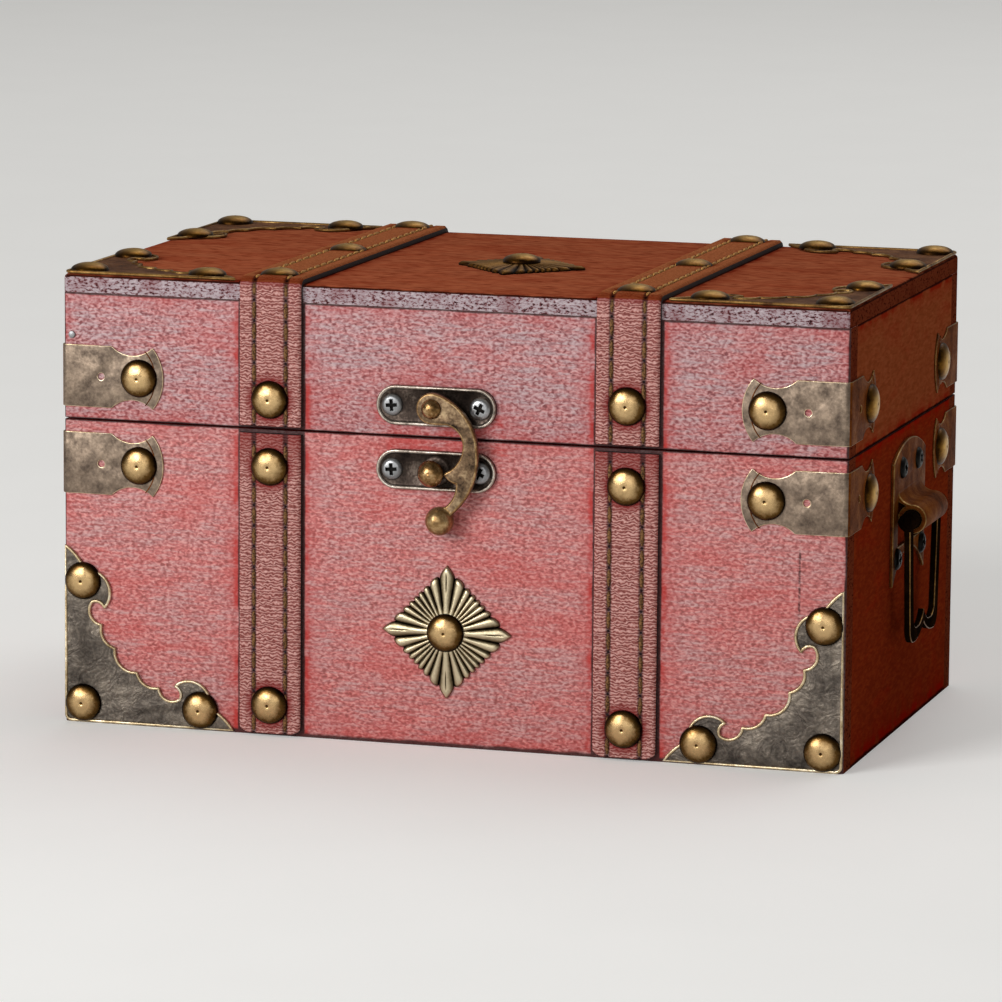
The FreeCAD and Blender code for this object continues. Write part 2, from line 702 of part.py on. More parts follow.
def latch_plate(height, boss_rise, bore, screws):
    """A dished plate with a raised rim and a round boss in its middle."""
    place = Fastener(Vector(LATCH_X, -BACK, height), FRONTWARD, 0)
    blank = lozenge(LATCH_LENGTH, LATCH_HEIGHT, LATCH_FLOOR + LATCH_RIM)
    rims = 2 * LATCH_RIM_WIDTH
    dish = lozenge(LATCH_LENGTH - rims, LATCH_HEIGHT - rims, LATCH_RIM + OVERCUT)
    dish.translate(UP * LATCH_FLOOR)
    plate = blank.cut(dish).fuse(drum(LATCH_BOSS_RADIUS, Vector(), UP, boss_rise)).removeSplitter()
    plate = plate.cut(drum(bore, Vector(0, 0, -OVERCUT), UP, boss_rise + 2 * OVERCUT))
    return drilled(facing(plate, place), [screw_hole(f) for f in screws])


def hook():
    """The hook: an eye, an arm that bows to the right with a barb for the post, and a ball at its end."""
    e = HOOK_EYE_RADIUS
    post = LATCH_Z - CATCH_Z
    lean = math.radians(HOOK_SHOULDER)
    shoulder = (e * math.sin(lean), post + e * math.cos(lean))
    face = outline(
        lambda u, v: Vector(u, v - post, 0),
        shoulder,
        *HOOK_OUTSIDE,
        HOOK_NECK,
        *HOOK_UNDER_BARB,
        HOOK_BARB,
        HOOK_INSIDE,
        (HOOK_THROAT, (HOOK_LEAVES_EYE, post - e)),
        (0, post - e),
        ((-e, post), shoulder),
    )
    arm = face.extrude(UP * HOOK_THICK)
    across, along = HOOK_BALL_AT
    ball = Part.makeSphere(HOOK_BALL_RADIUS, Vector(across, along - post, HOOK_THICK / 2))
    bore = drum(RIVET_RADIUS + HOOK_PLAY, Vector(0, 0, -OVERCUT), UP, HOOK_THICK + 2 * OVERCUT)
    whole = arm.fuse(ball).cut(bore)
    whole.translate(UP * HOOK_STAND_OFF)
    return facing(whole, Fastener(Vector(LATCH_X, -BACK, LATCH_Z), FRONTWARD, 0))


def build_latch():
    """Plate, rivet and hook on the lid; plate and post on the base; a pair of screws in each plate."""
    boss = HOOK_STAND_OFF - HOOK_PLAY
    export("latch_plate", latch_plate(LATCH_Z, boss, RIVET_RADIUS + SCREW_FIT, latch_screws(LATCH_Z)))
    head_foot = HOOK_STAND_OFF + HOOK_THICK + HOOK_PLAY
    rivet = turned(
        (0, 0),
        (RIVET_RADIUS, 0),
        (RIVET_RADIUS, head_foot),
        (RIVET_HEAD_RADIUS, head_foot),
        dome(RIVET_HEAD_RADIUS, head_foot, RIVET_HEAD_RISE),
    )
    export("latch_rivet", facing(rivet, Fastener(Vector(LATCH_X, -BACK, LATCH_Z), FRONTWARD, 0)))
    export("latch_hook", hook())
    export("latch_screws", *[screw(f) for f in latch_screws(LATCH_Z)])
    catch_boss = LATCH_FLOOR + LATCH_RIM
    catch_bore = POST_NECK_RADIUS + SCREW_FIT
    export("catch_plate", latch_plate(CATCH_Z, catch_boss, catch_bore, latch_screws(CATCH_Z)))
    post_foot = HOOK_STAND_OFF + HOOK_THICK + POST_HEAD_GAP
    post = turned(
        (0, 0),
        (POST_NECK_RADIUS, 0),
        (POST_NECK_RADIUS, post_foot),
        (POST_HEAD_RADIUS, post_foot),
        dome(POST_HEAD_RADIUS, post_foot, POST_HEAD_RISE),
    )
    export("catch_post", facing(post, Fastener(Vector(LATCH_X, -BACK, CATCH_Z), FRONTWARD, 0)))
    export("catch_screws", *[screw(f) for f in latch_screws(CATCH_Z)])


# Drop handles
def handle_plate(sign, screws):
    """A shield-shaped plate whose middle tongue is rolled outwards into a knuckle for the bail."""
    half, knuckle = HANDLE_WIDTH / 2, KNUCKLE_LENGTH / 2
    out = Vector(sign, 0, 0)
    face = outline(
        lambda u, v: Vector(sign * RIGHT, HANDLE_Y + u, HANDLE_Z + v),
        (-half, -HANDLE_TAIL),
        (-half, HANDLE_SHOULDER),
        ((0, HANDLE_CROWN), (half, HANDLE_SHOULDER)),
        (half, -HANDLE_TAIL),
        ((0, -HANDLE_ARCH), (-half, -HANDLE_TAIL)),
    )
    plate = face.extrude(out * HANDLE_THICK)
    start = Vector(sign * RIGHT, HANDLE_Y - knuckle, HANDLE_Z)
    window_low = Vector(sign * RIGHT, HANDLE_Y - knuckle, HANDLE_Z - WINDOW_DROP)
    window = outline(
        lambda u, v: window_low + Vector(-sign * OVERCUT, u, v),
        (0, 0),
        (KNUCKLE_LENGTH, 0),
        (KNUCKLE_LENGTH, WINDOW_DROP + TONGUE_ROOT),
        (0, WINDOW_DROP + TONGUE_ROOT),
    ).extrude(out * (HANDLE_THICK + 2 * OVERCUT))
    tongue = outline(
        lambda u, v: start + Vector(sign * u, 0, v),
        (0, TONGUE_ROOT - TONGUE_THICK),
        (0, TONGUE_ROOT + TONGUE_LAP),
        (HANDLE_THICK, TONGUE_ROOT + TONGUE_LAP),
        (HANDLE_THICK, TONGUE_ROOT),
        ((TONGUE_BEND[0], KNUCKLE_RADIUS + TONGUE_BEND[1]), (KNUCKLE_OFFSET, KNUCKLE_RADIUS)),
        (KNUCKLE_OFFSET, BAIL_BAR_RADIUS + BAIL_PLAY),
    ).extrude(BACKWARD * KNUCKLE_LENGTH)
    axis_start = start + out * KNUCKLE_OFFSET
    roll = drum(KNUCKLE_RADIUS, axis_start, BACKWARD, KNUCKLE_LENGTH)
    bore_start = axis_start - BACKWARD * OVERCUT
    bore = drum(BAIL_BAR_RADIUS + BAIL_PLAY, bore_start, BACKWARD, KNUCKLE_LENGTH + 2 * OVERCUT)
    whole = plate.cut(window).fuse([tongue, roll]).removeSplitter().cut(bore)
    return drilled(whole, [screw_hole(f) for f in screws])


def bail(sign):
    """A flat bail on a round bar: two legs that lean in, and a brace-shaped foot with a cusp."""
    half = BAIL_LEG_WIDTH / 2
    leg_out, leg_in = BAIL_LEG_HALF + half, BAIL_LEG_HALF - half
    lobe = BAIL_FOOT_HALF - half
    swell, lift = BAIL_CORNER_SWELL
    brace, brace_lift = BAIL_BRACE
    corner = (BAIL_FOOT_HALF + half, BAIL_CORNER - BAIL_DROP)
    outside = [
        ((BAIL_FOOT_HALF + swell, lift - BAIL_DROP), (lobe, -BAIL_DROP)),
        ((brace, brace_lift - BAIL_DROP), (0, -BAIL_CUSP - BAIL_BAR_DEPTH)),
    ]
    foot = BAIL_BAR_DEPTH - BAIL_DROP
    cut, cut_lift = BAIL_INNER_CORNER_CUT
    inner_brace, inner_lift = BAIL_INNER_BRACE
    inner_corner = (lobe, foot + BAIL_INNER_CORNER)
    inside = [
        ((lobe - cut, foot + cut_lift), (BAIL_INNER_LOBE, foot)),
        ((inner_brace, foot + inner_lift), (0, -BAIL_CUSP)),
    ]

    def across(spot):
        return -spot[0], spot[1]

    eye = BAIL_BAR_RADIUS + BAIL_END_GAP
    axis_x = sign * (RIGHT + KNUCKLE_OFFSET)
    face = outline(
        lambda u, v: Vector(axis_x - sign * BAIL_THICK / 2, HANDLE_Y + u, HANDLE_Z + v),
        (leg_out, 0),
        corner,
        *outside,
        *walked_back(corner, outside, across),
        (-leg_out, 0),
        ((-BAIL_LEG_HALF, eye), (-leg_in, 0)),
        across(inner_corner),
        *[(across(middle), across(end)) for middle, end in inside],
        *walked_back(inner_corner, inside, lambda spot: spot),
        (leg_in, 0),
        ((BAIL_LEG_HALF, eye), (leg_out, 0)),
    )
    frame = face.extrude(Vector(sign * BAIL_THICK, 0, 0))
    bar = drum(BAIL_BAR_RADIUS, Vector(axis_x, HANDLE_Y - leg_out, HANDLE_Z), BACKWARD, 2 * leg_out)
    return frame.fuse(bar).removeSplitter()


def build_handles():
    """A plate and a bail on each end, and all their screws as one group."""
    for side, sign in SIDES.items():
        export(f"handle_plate_{side}", handle_plate(sign, handle_screws(sign)))
        export(f"handle_bail_{side}", bail(sign))
    export("handle_screws", *[screw(f) for sign in SIDES.values() for f in handle_screws(sign)])


# Hinges
def hinge_leaf(sign, upward, screws):
    """One leaf of a butt hinge: the base leaf has the two outer knuckles, the lid leaf the middle one."""
    third = HINGE_WIDTH / 3
    left = sign * HINGE_X - HINGE_WIDTH / 2
    clear = HINGE_KNUCKLE_RADIUS + HINGE_CLEAR

    def band(x0, x1, near, far):
        low, high = sorted((SEAM_MIDDLE + upward * near, SEAM_MIDDLE + upward * far))
        return box((x0, BACK, low), (x1, BACK + HINGE_THICK, high))

    leaf = band(left, left + HINGE_WIDTH, clear, HINGE_LEAF)
    ends = [left + k * third for k in range(4)]
    spans = [ends[1:3]] if upward > 0 else [ends[0:2], ends[2:4]]
    inner_gap = HINGE_SIDE_GAP / 2
    for x0, x1 in spans:
        a = x0 if x0 == ends[0] else x0 + inner_gap
        b = x1 if x1 == ends[3] else x1 - inner_gap
        axis = Vector(a, HINGE_Y, SEAM_MIDDLE)
        leaf = leaf.fuse([band(a, b, 0, clear), drum(HINGE_KNUCKLE_RADIUS, axis, RIGHTWARD, b - a)])
    bore_start = Vector(left - OVERCUT, HINGE_Y, SEAM_MIDDLE)
    bore = drum(HINGE_PIN_RADIUS + HINGE_PIN_PLAY, bore_start, RIGHTWARD, HINGE_WIDTH + 2 * OVERCUT)
    return drilled(leaf.removeSplitter().cut(bore), [screw_hole(f) for f in screws])


def hinge_pin(sign):
    """The pin, peened to a button at both ends."""
    left = Vector(sign * HINGE_X - HINGE_WIDTH / 2, HINGE_Y, SEAM_MIDDLE)
    right = left + Vector(HINGE_WIDTH, 0, 0)
    button = HINGE_PIN_RADIUS + 2 * HINGE_PIN_PLAY + HINGE_PIN_HEAD
    shaft = drum(HINGE_PIN_RADIUS, left, RIGHTWARD, HINGE_WIDTH)
    ends = ((left, -RIGHTWARD), (right, RIGHTWARD))
    return shaft.fuse([drum(button, at, out, HINGE_PIN_HEAD) for at, out in ends])


def build_hinges():
    """Two hinges: base leaf, lid leaf and pin each, and their screws in two groups."""
    for side, sign in SIDES.items():
        export(f"hinge_base_leaf_{side}", hinge_leaf(sign, -1, hinge_screws(sign, -1)))
        export(f"hinge_lid_leaf_{side}", hinge_leaf(sign, 1, hinge_screws(sign, 1)))
        export(f"hinge_pin_{side}", hinge_pin(sign))
    for name, upward in (("hinge_base_screws", -1), ("hinge_lid_screws", 1)):
        fasteners = [f for sign in SIDES.values() for f in hinge_screws(sign, upward)]
        export(name, *[screw(f, HINGE_SCREW_HEAD_RADIUS, HINGE_SCREW_HEAD_RISE) for f in fasteners])


os.makedirs("parts", exist_ok=True)
build_boards()
build_straps()
build_brackets()
build_corner_plates()
export("front_ornament", ornament(FRONT_ORNAMENT_NAIL))
export("top_ornament", ornament(TOP_ORNAMENT_NAIL))
build_latch()
build_handles()
build_hinges()
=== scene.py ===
"""A small treasure chest: painted boards, stitched straps, stamped corners, a hook latch and drop handles.

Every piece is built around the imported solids, takes its place and size from them, and rides on their bodies.
Lengths are metres unless a name ends in _mm.
"""

import logging
import math
from dataclasses import dataclass, field
from enum import Enum
from typing import Iterable, Sequence

import bmesh
import bpy
from mathutils import Matrix, Vector, noise

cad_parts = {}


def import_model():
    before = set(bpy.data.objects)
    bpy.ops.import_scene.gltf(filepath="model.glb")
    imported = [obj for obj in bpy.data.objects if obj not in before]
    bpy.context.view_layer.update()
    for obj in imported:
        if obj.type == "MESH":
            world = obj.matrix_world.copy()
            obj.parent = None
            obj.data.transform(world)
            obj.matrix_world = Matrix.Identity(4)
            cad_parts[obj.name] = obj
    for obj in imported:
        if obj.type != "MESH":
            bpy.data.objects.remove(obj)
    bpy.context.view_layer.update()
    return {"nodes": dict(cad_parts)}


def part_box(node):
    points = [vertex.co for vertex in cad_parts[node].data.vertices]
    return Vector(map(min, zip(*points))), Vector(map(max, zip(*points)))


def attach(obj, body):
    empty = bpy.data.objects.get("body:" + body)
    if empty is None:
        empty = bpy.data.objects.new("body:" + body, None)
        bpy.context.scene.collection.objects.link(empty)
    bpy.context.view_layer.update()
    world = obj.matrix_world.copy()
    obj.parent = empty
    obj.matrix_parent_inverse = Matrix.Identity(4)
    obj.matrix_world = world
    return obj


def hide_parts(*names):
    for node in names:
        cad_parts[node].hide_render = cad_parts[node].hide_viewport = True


MM = 0.001
WELD = 0.002 * MM
LOG = logging.getLogger("chest")

Socket = bpy.types.NodeSocket
Tree = bpy.types.NodeTree
Mesh = bmesh.types.BMesh
Vert = bmesh.types.BMVert
Edge = bmesh.types.BMEdge
Face = bmesh.types.BMFace
Colour = tuple[float, float, float, float]
Path = list[tuple[Vector, Vector]]

MATH = "ShaderNodeMath"
MIX = "ShaderNodeMix"
# A range node takes, in order, the value, from low, from high, to low (0 if left out) and to high (1).
RANGE = "ShaderNodeMapRange"
NOISE = "ShaderNodeTexNoise"
RAMP = "ShaderNodeValToRGB"
SCALED = "ShaderNodeMapping"
BUMP = "ShaderNodeBump"
SPLIT = "ShaderNodeSeparateXYZ"
ATTRIBUTE = "ShaderNodeAttribute"
SURFACE = "ShaderNodeBsdfPrincipled"
# What turns a mix node to colours, which it then takes as inputs 6 and 7.
COLOURS = {"out": 2, "data_type": "RGBA"}


def linear(code: str) -> Colour:
    """Turn an sRGB hex colour into linear values.

    Args:
        code: Six hex digits after a hash sign.

    Returns:
        Linear red, green and blue, and full opacity.
    """
    parts = [int(code[k : k + 2], 16) / 255 for k in (1, 3, 5)]
    red, green, blue = (c / 12.92 if c <= 0.04045 else ((c + 0.055) / 1.055) ** 2.4 for c in parts)
    return red, green, blue, 1.0


def add(tree: Tree, kind: str, inputs: dict | Sequence = (), out: int | str = 0, stops: Sequence = (),
        **settings: object) -> Socket | None:
    """Add one node with its settings and links.

    Args:
        tree: The material's nodes.
        kind: The node's type, or what a math node does.
        inputs: Values, or sockets to link from, in the node's own order or by the input's name or number.
        out: Which output to hand back.
        stops: A colour ramp's places and hex colours.
        settings: The node's own properties.

    Returns:
        The chosen output, or None for an end node.
    """
    if not kind.startswith("ShaderNode"):
        settings["operation"] = kind
        kind = MATH
    node = tree.nodes.new(kind)
    for key, value in settings.items():
        setattr(node, key, value)
    for key, value in inputs.items() if isinstance(inputs, dict) else enumerate(inputs):
        if isinstance(value, Socket):
            tree.links.new(value, node.inputs[key])
        else:
            node.inputs[key].default_value = value
    if stops:
        elements = node.color_ramp.elements
        while len(elements) < len(stops):
            elements.new(1.0)
        for element, (place, code) in zip(elements, stops):
            element.position = place
            element.color = linear(code)
    return node.outputs[out] if node.outputs else None


class Side(Enum):
    """The faces of the chest, by the way each one looks out."""

    FRONT = (0, -1, 0)
    BACK = (0, 1, 0)
    LEFT = (-1, 0, 0)
    RIGHT = (1, 0, 0)
    TOP = (0, 0, 1)
    UNDER = (0, 0, -1)

    @property
    def out(self) -> Vector:
        """The direction away from the chest."""
        return Vector(self.value)

    @property
    def upright(self) -> bool:
        """Whether this is a wall."""
        return self.value[2] == 0

    @property
    def label(self) -> str:
        """The word for this face in the names of nodes."""
        return self.name.lower()


class Slot(Enum):
    """The record's material slots."""

    WOOD = "painted_wood"
    LEATHER = "strap_leather"
    NAIL = "antique_brass_nails"
    SHEET = "aged_bronze_sheet"
    LATCH = "latch_bronze"
    GOLD = "antique_gold_ornament"
    ZINC = "zinc_screws"
    DARK = "dark_screws"


@dataclass(frozen=True)
class Finish:
    """A surface that a piece can be given. Each kind below draws its own nodes."""

    name: str

    def material(self) -> bpy.types.Material:
        """The finish as a material, made once.

        Returns:
            The material, named as the finish is.
        """
        found = bpy.data.materials.get(self.name)
        if found:
            return found
        made = bpy.data.materials.new(self.name)
        made.use_nodes = True
        made.node_tree.nodes.clear()
        surface = self.surface(made.node_tree)
        add(made.node_tree, "ShaderNodeOutputMaterial", {"Surface": surface})
        return made

    def surface(self, tree: Tree) -> Socket:
        """Draw the nodes and return the shader."""
        raise NotImplementedError

    def spot(self, tree: Tree) -> Socket:
        """The place on the piece, in millimetres of the chest's own frame."""
        here = add(tree, "ShaderNodeTexCoord", out=3)
        return add(tree, SCALED, {"Vector": here, "Scale": (1 / MM, 1 / MM, 1 / MM)})

    def shade(self, tree: Tree, colour: Socket, rough: Socket | float, height: Socket, relief_mm: float,
              strength: float = 1.0, specular: float = 0.5, metallic: float = 0.0) -> Socket:
        """The shader, with a fine relief.

        Args:
            tree: The material's nodes.
            colour: The surface's colour.
            rough: Its roughness.
            height: Where it stands up, from 0 to 1.
            relief_mm: How far that is.
            strength: How much of the relief the light sees.
            specular: How strongly it mirrors; 0.5 is plain varnish.
            metallic: How far it is metal.

        Returns:
            The shader.
        """
        relief = add(tree, BUMP, {"Height": height, "Strength": strength, "Distance": relief_mm * MM})
        return add(tree, SURFACE, {"Base Color": colour, "Roughness": rough, "Normal": relief,
                                   "Specular IOR Level": specular, "Metallic": metallic})


@dataclass(frozen=True)
class PaintedBoard(Finish):
    """Brick-red paint on a soft wood board, sealed and rubbed back by hand.

    The eye gets fine brush streaks along the board, a grey-lilac bloom where the top coat has gone, clear
    deep red where straps and edges kept it, and a dark line along edges, straps and the seam that is partly
    dirt and partly painted shadow. Real pores are about a fifth of a millimetre across, which is too fine to
    show, so they are drawn three times as coarse.
    """

    side: Side = Side.FRONT
    deep: str = "#94504d"
    body: str = "#c26b68"
    light: str = "#dc958f"
    bloom: str = "#a68383"
    bloom_high: str | None = None
    bloom_amount: float = 0.5
    glaze: str = "#b62c26"
    grime: str = "#1f0d0c"
    pore_long_mm: float = 1.1
    pore_wide_mm: float = 0.66
    grain_long_mm: float = 8.0
    grain_wide_mm: float = 1.1
    bloom_mm: float = 30.0
    patch_mm: float = 6.25
    glaze_mm: float = 6.0
    band_mm: float = 1.9
    band_fade_mm: float = 1.6
    edge_mm: float = 1.5
    grime_mm: float = 0.35
    ground_share: float = 0.5
    strap_centre_mm: float = 50.0
    strap_half_mm: float = 8.75
    strap_clear_mm: float = 0.3
    seam_mm: float = 84.25
    cover_mm: float = 119.0
    latch_mm: tuple[float, float, float] = (-3.2, -65.0, 84.0)
    halo_mm: tuple[float, float, float] = (27.0, 20.0, 20.0)
    roughness: float = 0.55
    specular: float = 0.35
    relief_mm: float = 0.34
    hairline_mm: tuple[float, float, float] | None = None

    def surface(self, tree: Tree) -> Socket:
        """Pores, grain and bloom over the whole face, glaze and grime worked out from its edges and straps.

        Args:
            tree: The material's nodes.

        Returns:
            The shader.
        """
        spot = self.spot(tree)
        pores = self.drawn(tree, spot, self.pore_long_mm, self.pore_wide_mm, 0.6)
        grain = self.drawn(tree, spot, self.grain_long_mm, self.grain_wide_mm, 4.0)
        cloud = self.drawn(tree, spot, self.bloom_mm, self.bloom_mm / 3, 5.0)
        patchy = add(tree, NOISE, {"Vector": spot, "Scale": 1 / self.patch_mm, "Detail": 4.0})
        streak = add(tree, MIX, {0: 0.25, 2: pores, 3: grain})
        bare = self.bloom_high or self.bloom
        paint, faded = (add(tree, RAMP, [streak], stops=[(0.34, self.deep), (0.49, middle), (0.64, high)])
                        for middle, high in ((self.body, self.light), (self.bloom, bare)))
        bloomed = add(tree, "MULTIPLY_ADD", (cloud, 0.6, grain))
        bloomed = add(tree, RANGE, (bloomed, 0.7, 0.95, 0.0, self.bloom_amount))
        colour = add(tree, MIX, {0: bloomed, 6: paint, 7: faded}, **COLOURS)
        edge, strap, ground = self.distances(tree, spot)
        # Clear red glaze: a soft breadth and a firm band along straps and edges, and a trace in thick coats.
        inset = add(tree, "ADD", (edge, self.edge_mm))
        kept = add(tree, "MINIMUM", (inset, strap))
        soft = add(tree, RANGE, (kept, 0.0, self.glaze_mm, 0.62, 0.0))
        wavy = add(tree, "MULTIPLY_ADD", (grain, 1.2, kept))
        band = add(tree, RANGE, (wavy, self.band_mm, self.band_mm + self.band_fade_mm, 0.9, 0.0))
        glazed = add(tree, "MAXIMUM", (soft, band))
        wet = add(tree, RANGE, (patchy, 0.36, 0.6, 0.15))
        glazed = add(tree, "MULTIPLY", (glazed, wet))
        spare = add(tree, RANGE, (cloud, 0.48, 0.28, 0.0, 0.4))
        glazed = add(tree, "MAXIMUM", (glazed, spare))
        colour = add(tree, MIX, {0: glazed, 6: colour, 7: linear(self.glaze)}, **COLOURS)
        if self.hairline_mm:
            colour = self.cracked(tree, spot, pores, colour, *self.hairline_mm)
        # The dark line along edges, straps and the seam is partly dirt and dark joints, partly painted shadow
        # beside the straps and in the seam.
        near = add(tree, "MINIMUM", (edge, strap))
        rim = add(tree, "MINIMUM", (ground, near))
        rim = add(tree, "MULTIPLY_ADD", (patchy, -0.7, rim))
        shade_and_dirt_mask = add(tree, RANGE, (rim, 0.0, self.grime_mm, 0.9, 0.0))
        colour = add(tree, MIX, {0: shade_and_dirt_mask, 6: colour, 7: linear(self.grime)}, **COLOURS)
        rough = add(tree, RANGE, (streak, 0.3, 0.7, self.roughness + 0.14, self.roughness - 0.06))
        return self.shade(tree, colour, rough, streak, self.relief_mm, 0.9, self.specular)

    def cracked(self, tree: Tree, spot: Socket, pores: Socket, colour: Socket, place: float, low: float,
                high: float) -> Socket:
        """A broken hairline across the grain of the front board, where a joint behind the paint has moved.

        Args:
            tree: The material's nodes.
            spot: The place in millimetres.
            pores: The paint's pores, which break the line.
            colour: The paint's colour.
            place: How far along the board the line is.
            low: Its foot.
            high: Its head.

        Returns:
            The colour with the line in it.
        """
        x, y, z = (add(tree, SPLIT, [spot], out=k) for k in range(3))
        half = (high - low) / 2
        aside = add(tree, "ABSOLUTE", [add(tree, "SUBTRACT", (x, place))])
        past = add(tree, "ABSOLUTE", [add(tree, "SUBTRACT", (z, (low + high) / 2))])
        line = add(tree, RANGE, (aside, 0.14, 0.45, 0.75, 0.0))
        within = add(tree, RANGE, (past, half * 0.6, half, 1.0, 0.0))
        broken = add(tree, RANGE, (pores, 0.38, 0.66, 1.0, 0.35))
        facing = add(tree, "LESS_THAN", (y, 0.0))
        for share in (within, broken, facing):
            line = add(tree, "MULTIPLY", (line, share))
        return add(tree, MIX, {0: line, 6: colour, 7: linear(self.grime)}, **COLOURS)

    def drawn(self, tree: Tree, spot: Socket, long_mm: float, wide_mm: float, detail: float) -> Socket:
        """Noise drawn out along the board.

        Args:
            tree: The material's nodes.
            spot: The place in millimetres.
            long_mm: The length of a mark, along the board.
            wide_mm: Its width.
            detail: How much finer noise is in it.

        Returns:
            The noise.
        """
        along, across = 1 / long_mm, 1 / wide_mm
        scale = (along, across, along) if self.side is Side.TOP else (along, along, across)
        lined = add(tree, SCALED, {"Vector": spot, "Scale": scale})
        return add(tree, NOISE, {"Vector": lined, "Scale": 1.0, "Detail": detail, "Roughness": 0.6,
                                 "Distortion": 0.5})

    def distances(self, tree: Tree, spot: Socket) -> tuple[Socket, Socket, Socket]:
        """How far a place is from the nearest edge of its board, the nearest strap, and the ground below.

        Args:
            tree: The material's nodes.
            spot: The place in millimetres.

        Returns:
            Three distances in millimetres; the last is halved, as the ground leaves the widest mark.
        """
        _, high = Chest.wood()
        x, y, z = (add(tree, SPLIT, [spot], out=k) for k in range(3))
        reach_x, reach_y = (add(tree, "ABSOLUTE", [part]) for part in (x, y))
        from_end = add(tree, "SUBTRACT", (high.x / MM, reach_x))
        from_face = add(tree, "SUBTRACT", (high.y / MM, reach_y))
        ground = add(tree, "MULTIPLY", (z, self.ground_share))
        from_foot = ground
        for level in (self.seam_mm, self.cover_mm):
            past = add(tree, "ABSOLUTE", [add(tree, "SUBTRACT", (z, level))])
            from_foot = add(tree, "MINIMUM", (from_foot, past))
        pairs = {
            Side.FRONT: (from_end, from_foot),
            Side.TOP: (from_end, from_face),
            Side.RIGHT: (from_face, from_foot),
        }
        edge = add(tree, "MINIMUM", pairs[self.side])
        if self.side is Side.RIGHT:
            return edge, edge, ground
        strap = add(tree, "ABSOLUTE", [add(tree, "SUBTRACT", (reach_x, self.strap_centre_mm))])
        strap = add(tree, "SUBTRACT", (strap, self.strap_half_mm + self.strap_clear_mm))
        if self.side is Side.FRONT:
            away = add(tree, SCALED, {"Vector": spot, "Location": [-part for part in self.latch_mm]})
            away = add(tree, SCALED, {"Vector": away, "Scale": [1 / part for part in self.halo_mm]})
            ring_round = add(tree, "ShaderNodeVectorMath", [away], out=1, operation="LENGTH")
            halo = add(tree, RANGE, (ring_round, 0.7, 1.0, 0.3, 1.0))
            halo = add(tree, "MULTIPLY", (halo, self.glaze_mm))
            strap = add(tree, "MINIMUM", (strap, halo))
        return edge, strap, ground


@dataclass(frozen=True)
class RubbedEnd(Finish):
    """End grain of the painted boards, where the paint has rubbed down to grey primer and dark pores.

    The eye gets a salt-and-pepper edge. Open pores of softwood are finer than a pixel, so the flecks are
    drawn at about half a millimetre to show.
    """

    primer: str = "#a6959a"
    paint: str = "#7a3b3e"
    pore: str = "#150d0f"
    high: str = "#cbbcc0"
    fleck_long_mm: float = 1.2
    fleck_high_mm: float = 0.6
    cloud_per_mm: float = 0.09
    roughness: float = 0.7
    specular: float = 0.1
    relief_mm: float = 0.3

    def surface(self, tree: Tree) -> Socket:
        """Flecks of primer, paint and open pore.

        Args:
            tree: The material's nodes.

        Returns:
            The shader.
        """
        spot = self.spot(tree)
        long, high = 1 / self.fleck_long_mm, 1 / self.fleck_high_mm
        drawn = add(tree, SCALED, {"Vector": spot, "Scale": (long, long, high)})
        fleck = add(tree, NOISE, {"Vector": drawn, "Scale": 1.0, "Detail": 5.0, "Roughness": 0.7})
        colour = add(tree, RAMP, [fleck], stops=[
            (0.38, self.pore), (0.43, self.paint), (0.48, self.primer), (0.68, self.high)])
        cloud = add(tree, NOISE, {"Vector": spot, "Scale": self.cloud_per_mm, "Detail": 3.0})
        kept = add(tree, RANGE, (cloud, 0.52, 0.7, 0.0, 0.6))
        colour = add(tree, MIX, {0: kept, 6: colour, 7: linear(self.paint)}, **COLOURS)
        return self.shade(tree, colour, self.roughness, fleck, self.relief_mm, specular=self.specular)


@dataclass(frozen=True)
class BareBoard(Finish):
    """Unpainted softwood inside the chest and under it: planed, pale brown, with long darker growth lines."""

    late: str = "#8a6340"
    early: str = "#a98158"
    high: str = "#b99268"
    ring_mm: float = 2.2
    ring_long_mm: float = 90.0
    fibre_mm: float = 0.35
    fibre_long_mm: float = 10.0
    roughness: float = 0.66
    relief_mm: float = 0.12
    end_board: bool = False

    def surface(self, tree: Tree) -> Socket:
        """Growth lines drawn out along the board.

        Args:
            tree: The material's nodes.

        Returns:
            The shader.
        """
        spot = self.spot(tree)
        if self.end_board:
            spot = add(tree, SCALED, {"Vector": spot, "Rotation": (0, 0, math.pi / 2)})
        across, thin = 1 / self.ring_mm, 1 / self.fibre_mm
        drawn = add(tree, SCALED, {"Vector": spot, "Scale": (1 / self.ring_long_mm, across, across)})
        rings = add(tree, NOISE, {"Vector": drawn, "Scale": 1.0, "Detail": 3.0, "Distortion": 0.3})
        fine = add(tree, SCALED, {"Vector": spot, "Scale": (1 / self.fibre_long_mm, thin, thin)})
        fibre = add(tree, NOISE, {"Vector": fine, "Scale": 1.0, "Detail": 2.0})
        grain = add(tree, MIX, {0: 0.4, 2: rings, 3: fibre})
        colour = add(tree, RAMP, [grain], stops=[(0.36, self.late), (0.54, self.early), (0.7, self.high)])
        return self.shade(tree, colour, self.roughness, grain, self.relief_mm, 0.6)


